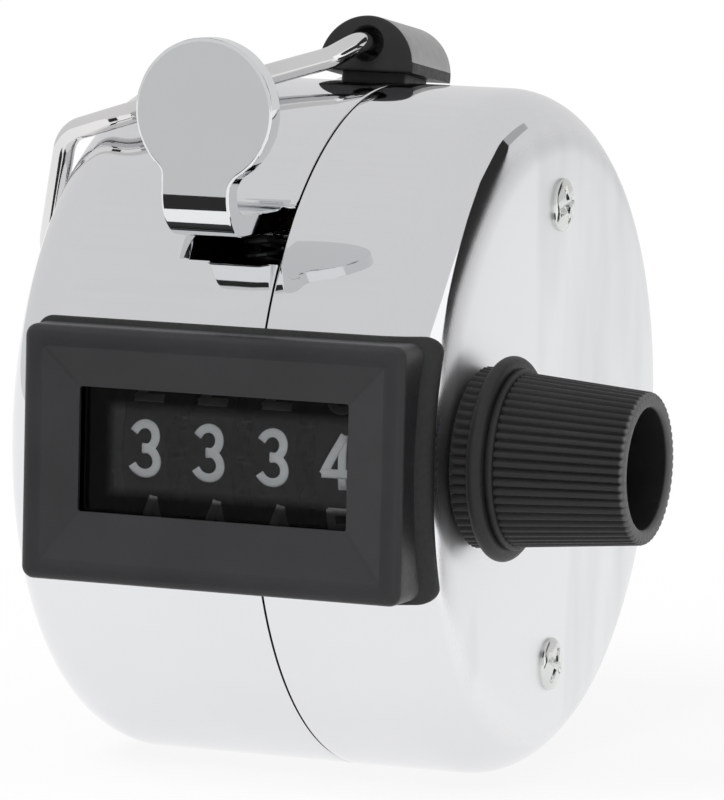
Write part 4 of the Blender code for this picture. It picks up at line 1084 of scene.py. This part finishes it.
def makeCard(name, grid, glow):
    # a sheet that only mirrors see: a flag or the tent round the set, evenly lit by itself
    rows, columns = grid.shape[:2]
    mesh = bpy.data.meshes.new(name)
    cells = rowFaces(rows, columns, False, False).reshape(-1, 4)
    mesh.from_pydata(grid.reshape(-1, 3).tolist(), [], cells.tolist())
    card = addStage(bpy.data.objects.new(name, mesh))
    for kind in ("camera", "diffuse", "transmission", "volume_scatter", "shadow"):
        setattr(card, "visible_" + kind, False)
    material = bpy.data.materials.new(name + "Card")
    material.use_nodes = True
    tree = material.node_tree
    tree.nodes.clear()
    output = tree.nodes.new("ShaderNodeOutputMaterial")
    light = tree.nodes.new("ShaderNodeEmission")
    grain = noiseNode(tree, 8.0, 2.0)
    colour = mixNode(tree, rangeNode(tree, grain, 0.0, 1.0), (glow * 0.98,) * 3, (glow,) * 3)
    tree.links.new(colour, light.inputs["Color"])
    tree.links.new(light.outputs["Emission"], output.inputs["Surface"])
    mesh.materials.append(material)
    return card


def makeTent():
    # a half dome from just over the floor to its top
    bearing = np.linspace(0.0, twoPi, 73)[:, None]
    height = np.radians(np.linspace(0.3, 90.0, 25))[None]
    radius = 0.9 * studio["floorRadius"]
    grid = radius * np.stack([np.cos(height) * np.sin(bearing), np.cos(height) * np.cos(bearing),
                              np.sin(height) + 0.0 * bearing], -1)
    makeCard("tent", grid, studio["tent"])


def makeFlag(name, flag):
    # part of a ring on the floor, between two bearings from the front and two distances
    bearing = np.radians(np.linspace(*flag["bearing"], 24))[:, None]
    reach = np.linspace(flag["from"], flag["to"], 4)[None]
    grid = np.stack([reach * np.sin(bearing), -reach * np.cos(bearing), 0.002 + 0.0 * reach * bearing], -1)
    makeCard(name, grid, flag["glow"])


def awayFrom(azimuth, elevation):
    # the direction at a bearing from the front and a height over the floor, both in degrees
    azimuth, elevation = np.radians(azimuth), np.radians(elevation)
    flat = np.cos(elevation)
    return np.array([np.sin(azimuth) * flat, -np.cos(azimuth) * flat, np.sin(elevation)])


def cameraPlace():
    return shot["distance"] * awayFrom(shot["azimuth"], shot["elevation"])


def makeRimCard(name, card):
    # points on the rim fillet send the camera's view on by the mirror law, view less twice its part along the
    # normal; the card's edges stand a set distance along it, or shortly before the floor
    around = np.radians(card["around"])[:, None]
    across = np.radians(np.linspace(card["from"], card["to"], 5)).T
    normal = np.stack([np.sin(across), -np.cos(across) * np.cos(around), np.cos(across) * np.sin(around)], -1)
    fillet = drum["fillet"]
    inner = drum["radius"] - fillet
    radial = np.stack([0.0 * around, -np.cos(around), np.sin(around)], -1)
    place = fillet * normal + inner * radial + np.array([drum["rightX"] - fillet, 0.0, 0.0])
    view = place - cameraPlace()
    view /= np.linalg.norm(view, axis=-1, keepdims=True)
    onward = view - 2.0 * (view * normal).sum(-1, keepdims=True) * normal
    drop = (place[..., 2] + seamPlace[2] - card["floorGap"]) / np.maximum(-onward[..., 2], 1e-6)
    reach = np.where(onward[..., 2] < 0.0, np.minimum(card["distance"], drop), card["distance"])
    makeCard(name, (place + reach[..., None] * onward + seamPlace) * mm, card["glow"])


def makeWorld():
    # white to the camera, mirrors and glass, and a plain fill for everything else
    world = bpy.data.worlds.new("studio")
    bpy.context.scene.world = world
    world.use_nodes = True
    tree = world.node_tree
    tree.nodes.clear()
    output = tree.nodes.new("ShaderNodeOutputWorld")
    seen = lightPathShare(tree, "Is Camera Ray", "Is Glossy Ray", "Is Transmission Ray")
    fill = tree.nodes.new("ShaderNodeBackground")
    fill.inputs["Strength"].default_value = studio["worldFill"]
    white = tree.nodes.new("ShaderNodeBackground")
    white.inputs["Strength"].default_value = 1.0
    for node in (fill, white):
        node.inputs["Color"].default_value = (1.0, 1.0, 1.0, 1.0)
    mix = tree.nodes.new("ShaderNodeMixShader")
    tree.links.new(seen, mix.inputs["Fac"])
    tree.links.new(fill.outputs[0], mix.inputs[1])
    tree.links.new(white.outputs[0], mix.inputs[2])
    tree.links.new(mix.outputs[0], output.inputs["Surface"])


def addLamp(name, lamp):
    # an area lamp that lights without showing in the chrome
    data = bpy.data.lights.new(name, "AREA")
    data.size = lamp["size"]
    data.energy = lamp["power"]
    obj = bpy.data.objects.new(name, data)
    bpy.context.scene.collection.objects.link(obj)
    away = Vector(awayFrom(lamp["azimuth"], lamp["elevation"]))
    obj.location = away * lamp["distance"] + Vector((0.0, 0.0, 0.02))
    obj.rotation_euler = away.to_track_quat("Z", "Y").to_euler()
    obj.visible_glossy = False


lamps = {
    "keyLamp": {"azimuth": -12.0, "elevation": 46.0, "distance": 1.2, "size": 0.6, "power": 10.0},
    "topLamp": {"azimuth": 60.0, "elevation": 70.0, "distance": 1.2, "size": 1.0, "power": 4.0},
}

# The camera's distance is in mm from the drum's centre, and the rest of the frame in the photo's pixels.
shot = {"azimuth": 21.93, "elevation": 6.46, "roll": 1.41, "distance": 394.6, "focal": 6400.0,
        "centreX": 387.9, "centreY": 423.5, "width": 724.0, "height": 800.0}


def makeCamera():
    # looks at the drum's centre in the seam plane; the photograph's own pixel for it gives the shift
    place = cameraPlace()
    away = place / shot["distance"]
    roll = np.radians(shot["roll"])
    right = np.cross(-away, [0.0, 0.0, 1.0])
    right /= np.linalg.norm(right)
    up = np.cross(right, -away)
    rolledRight = np.cos(roll) * right + np.sin(roll) * up
    rolledUp = -np.sin(roll) * right + np.cos(roll) * up
    data = bpy.data.cameras.new("photoCamera")
    data.sensor_width = 36.0
    data.lens = shot["focal"] * data.sensor_width / shot["height"]
    data.shift_x = -(shot["centreX"] - 0.5 * shot["width"]) / shot["height"]
    data.shift_y = (shot["centreY"] - 0.5 * shot["height"]) / shot["height"]
    data.clip_start = 0.01
    camera = bpy.data.objects.new("photoCamera", data)
    bpy.context.scene.collection.objects.link(camera)
    turn = Matrix([rolledRight, rolledUp, away]).transposed().to_4x4()
    camera.matrix_world = Matrix.Translation(Vector((place + seamPlace) * mm)) @ turn
    bpy.context.scene.camera = camera


makeFloor()
makeTent()
for name, flag in flags.items():
    makeFlag(name, flag)
for name, card in rimCards.items():
    makeRimCard(name, card)
makeWorld()
for name, lamp in lamps.items():
    addLamp(name, lamp)
makeCamera()
bpy.context.scene.view_settings.view_transform = "Standard"
print("stage, lamps and camera made")
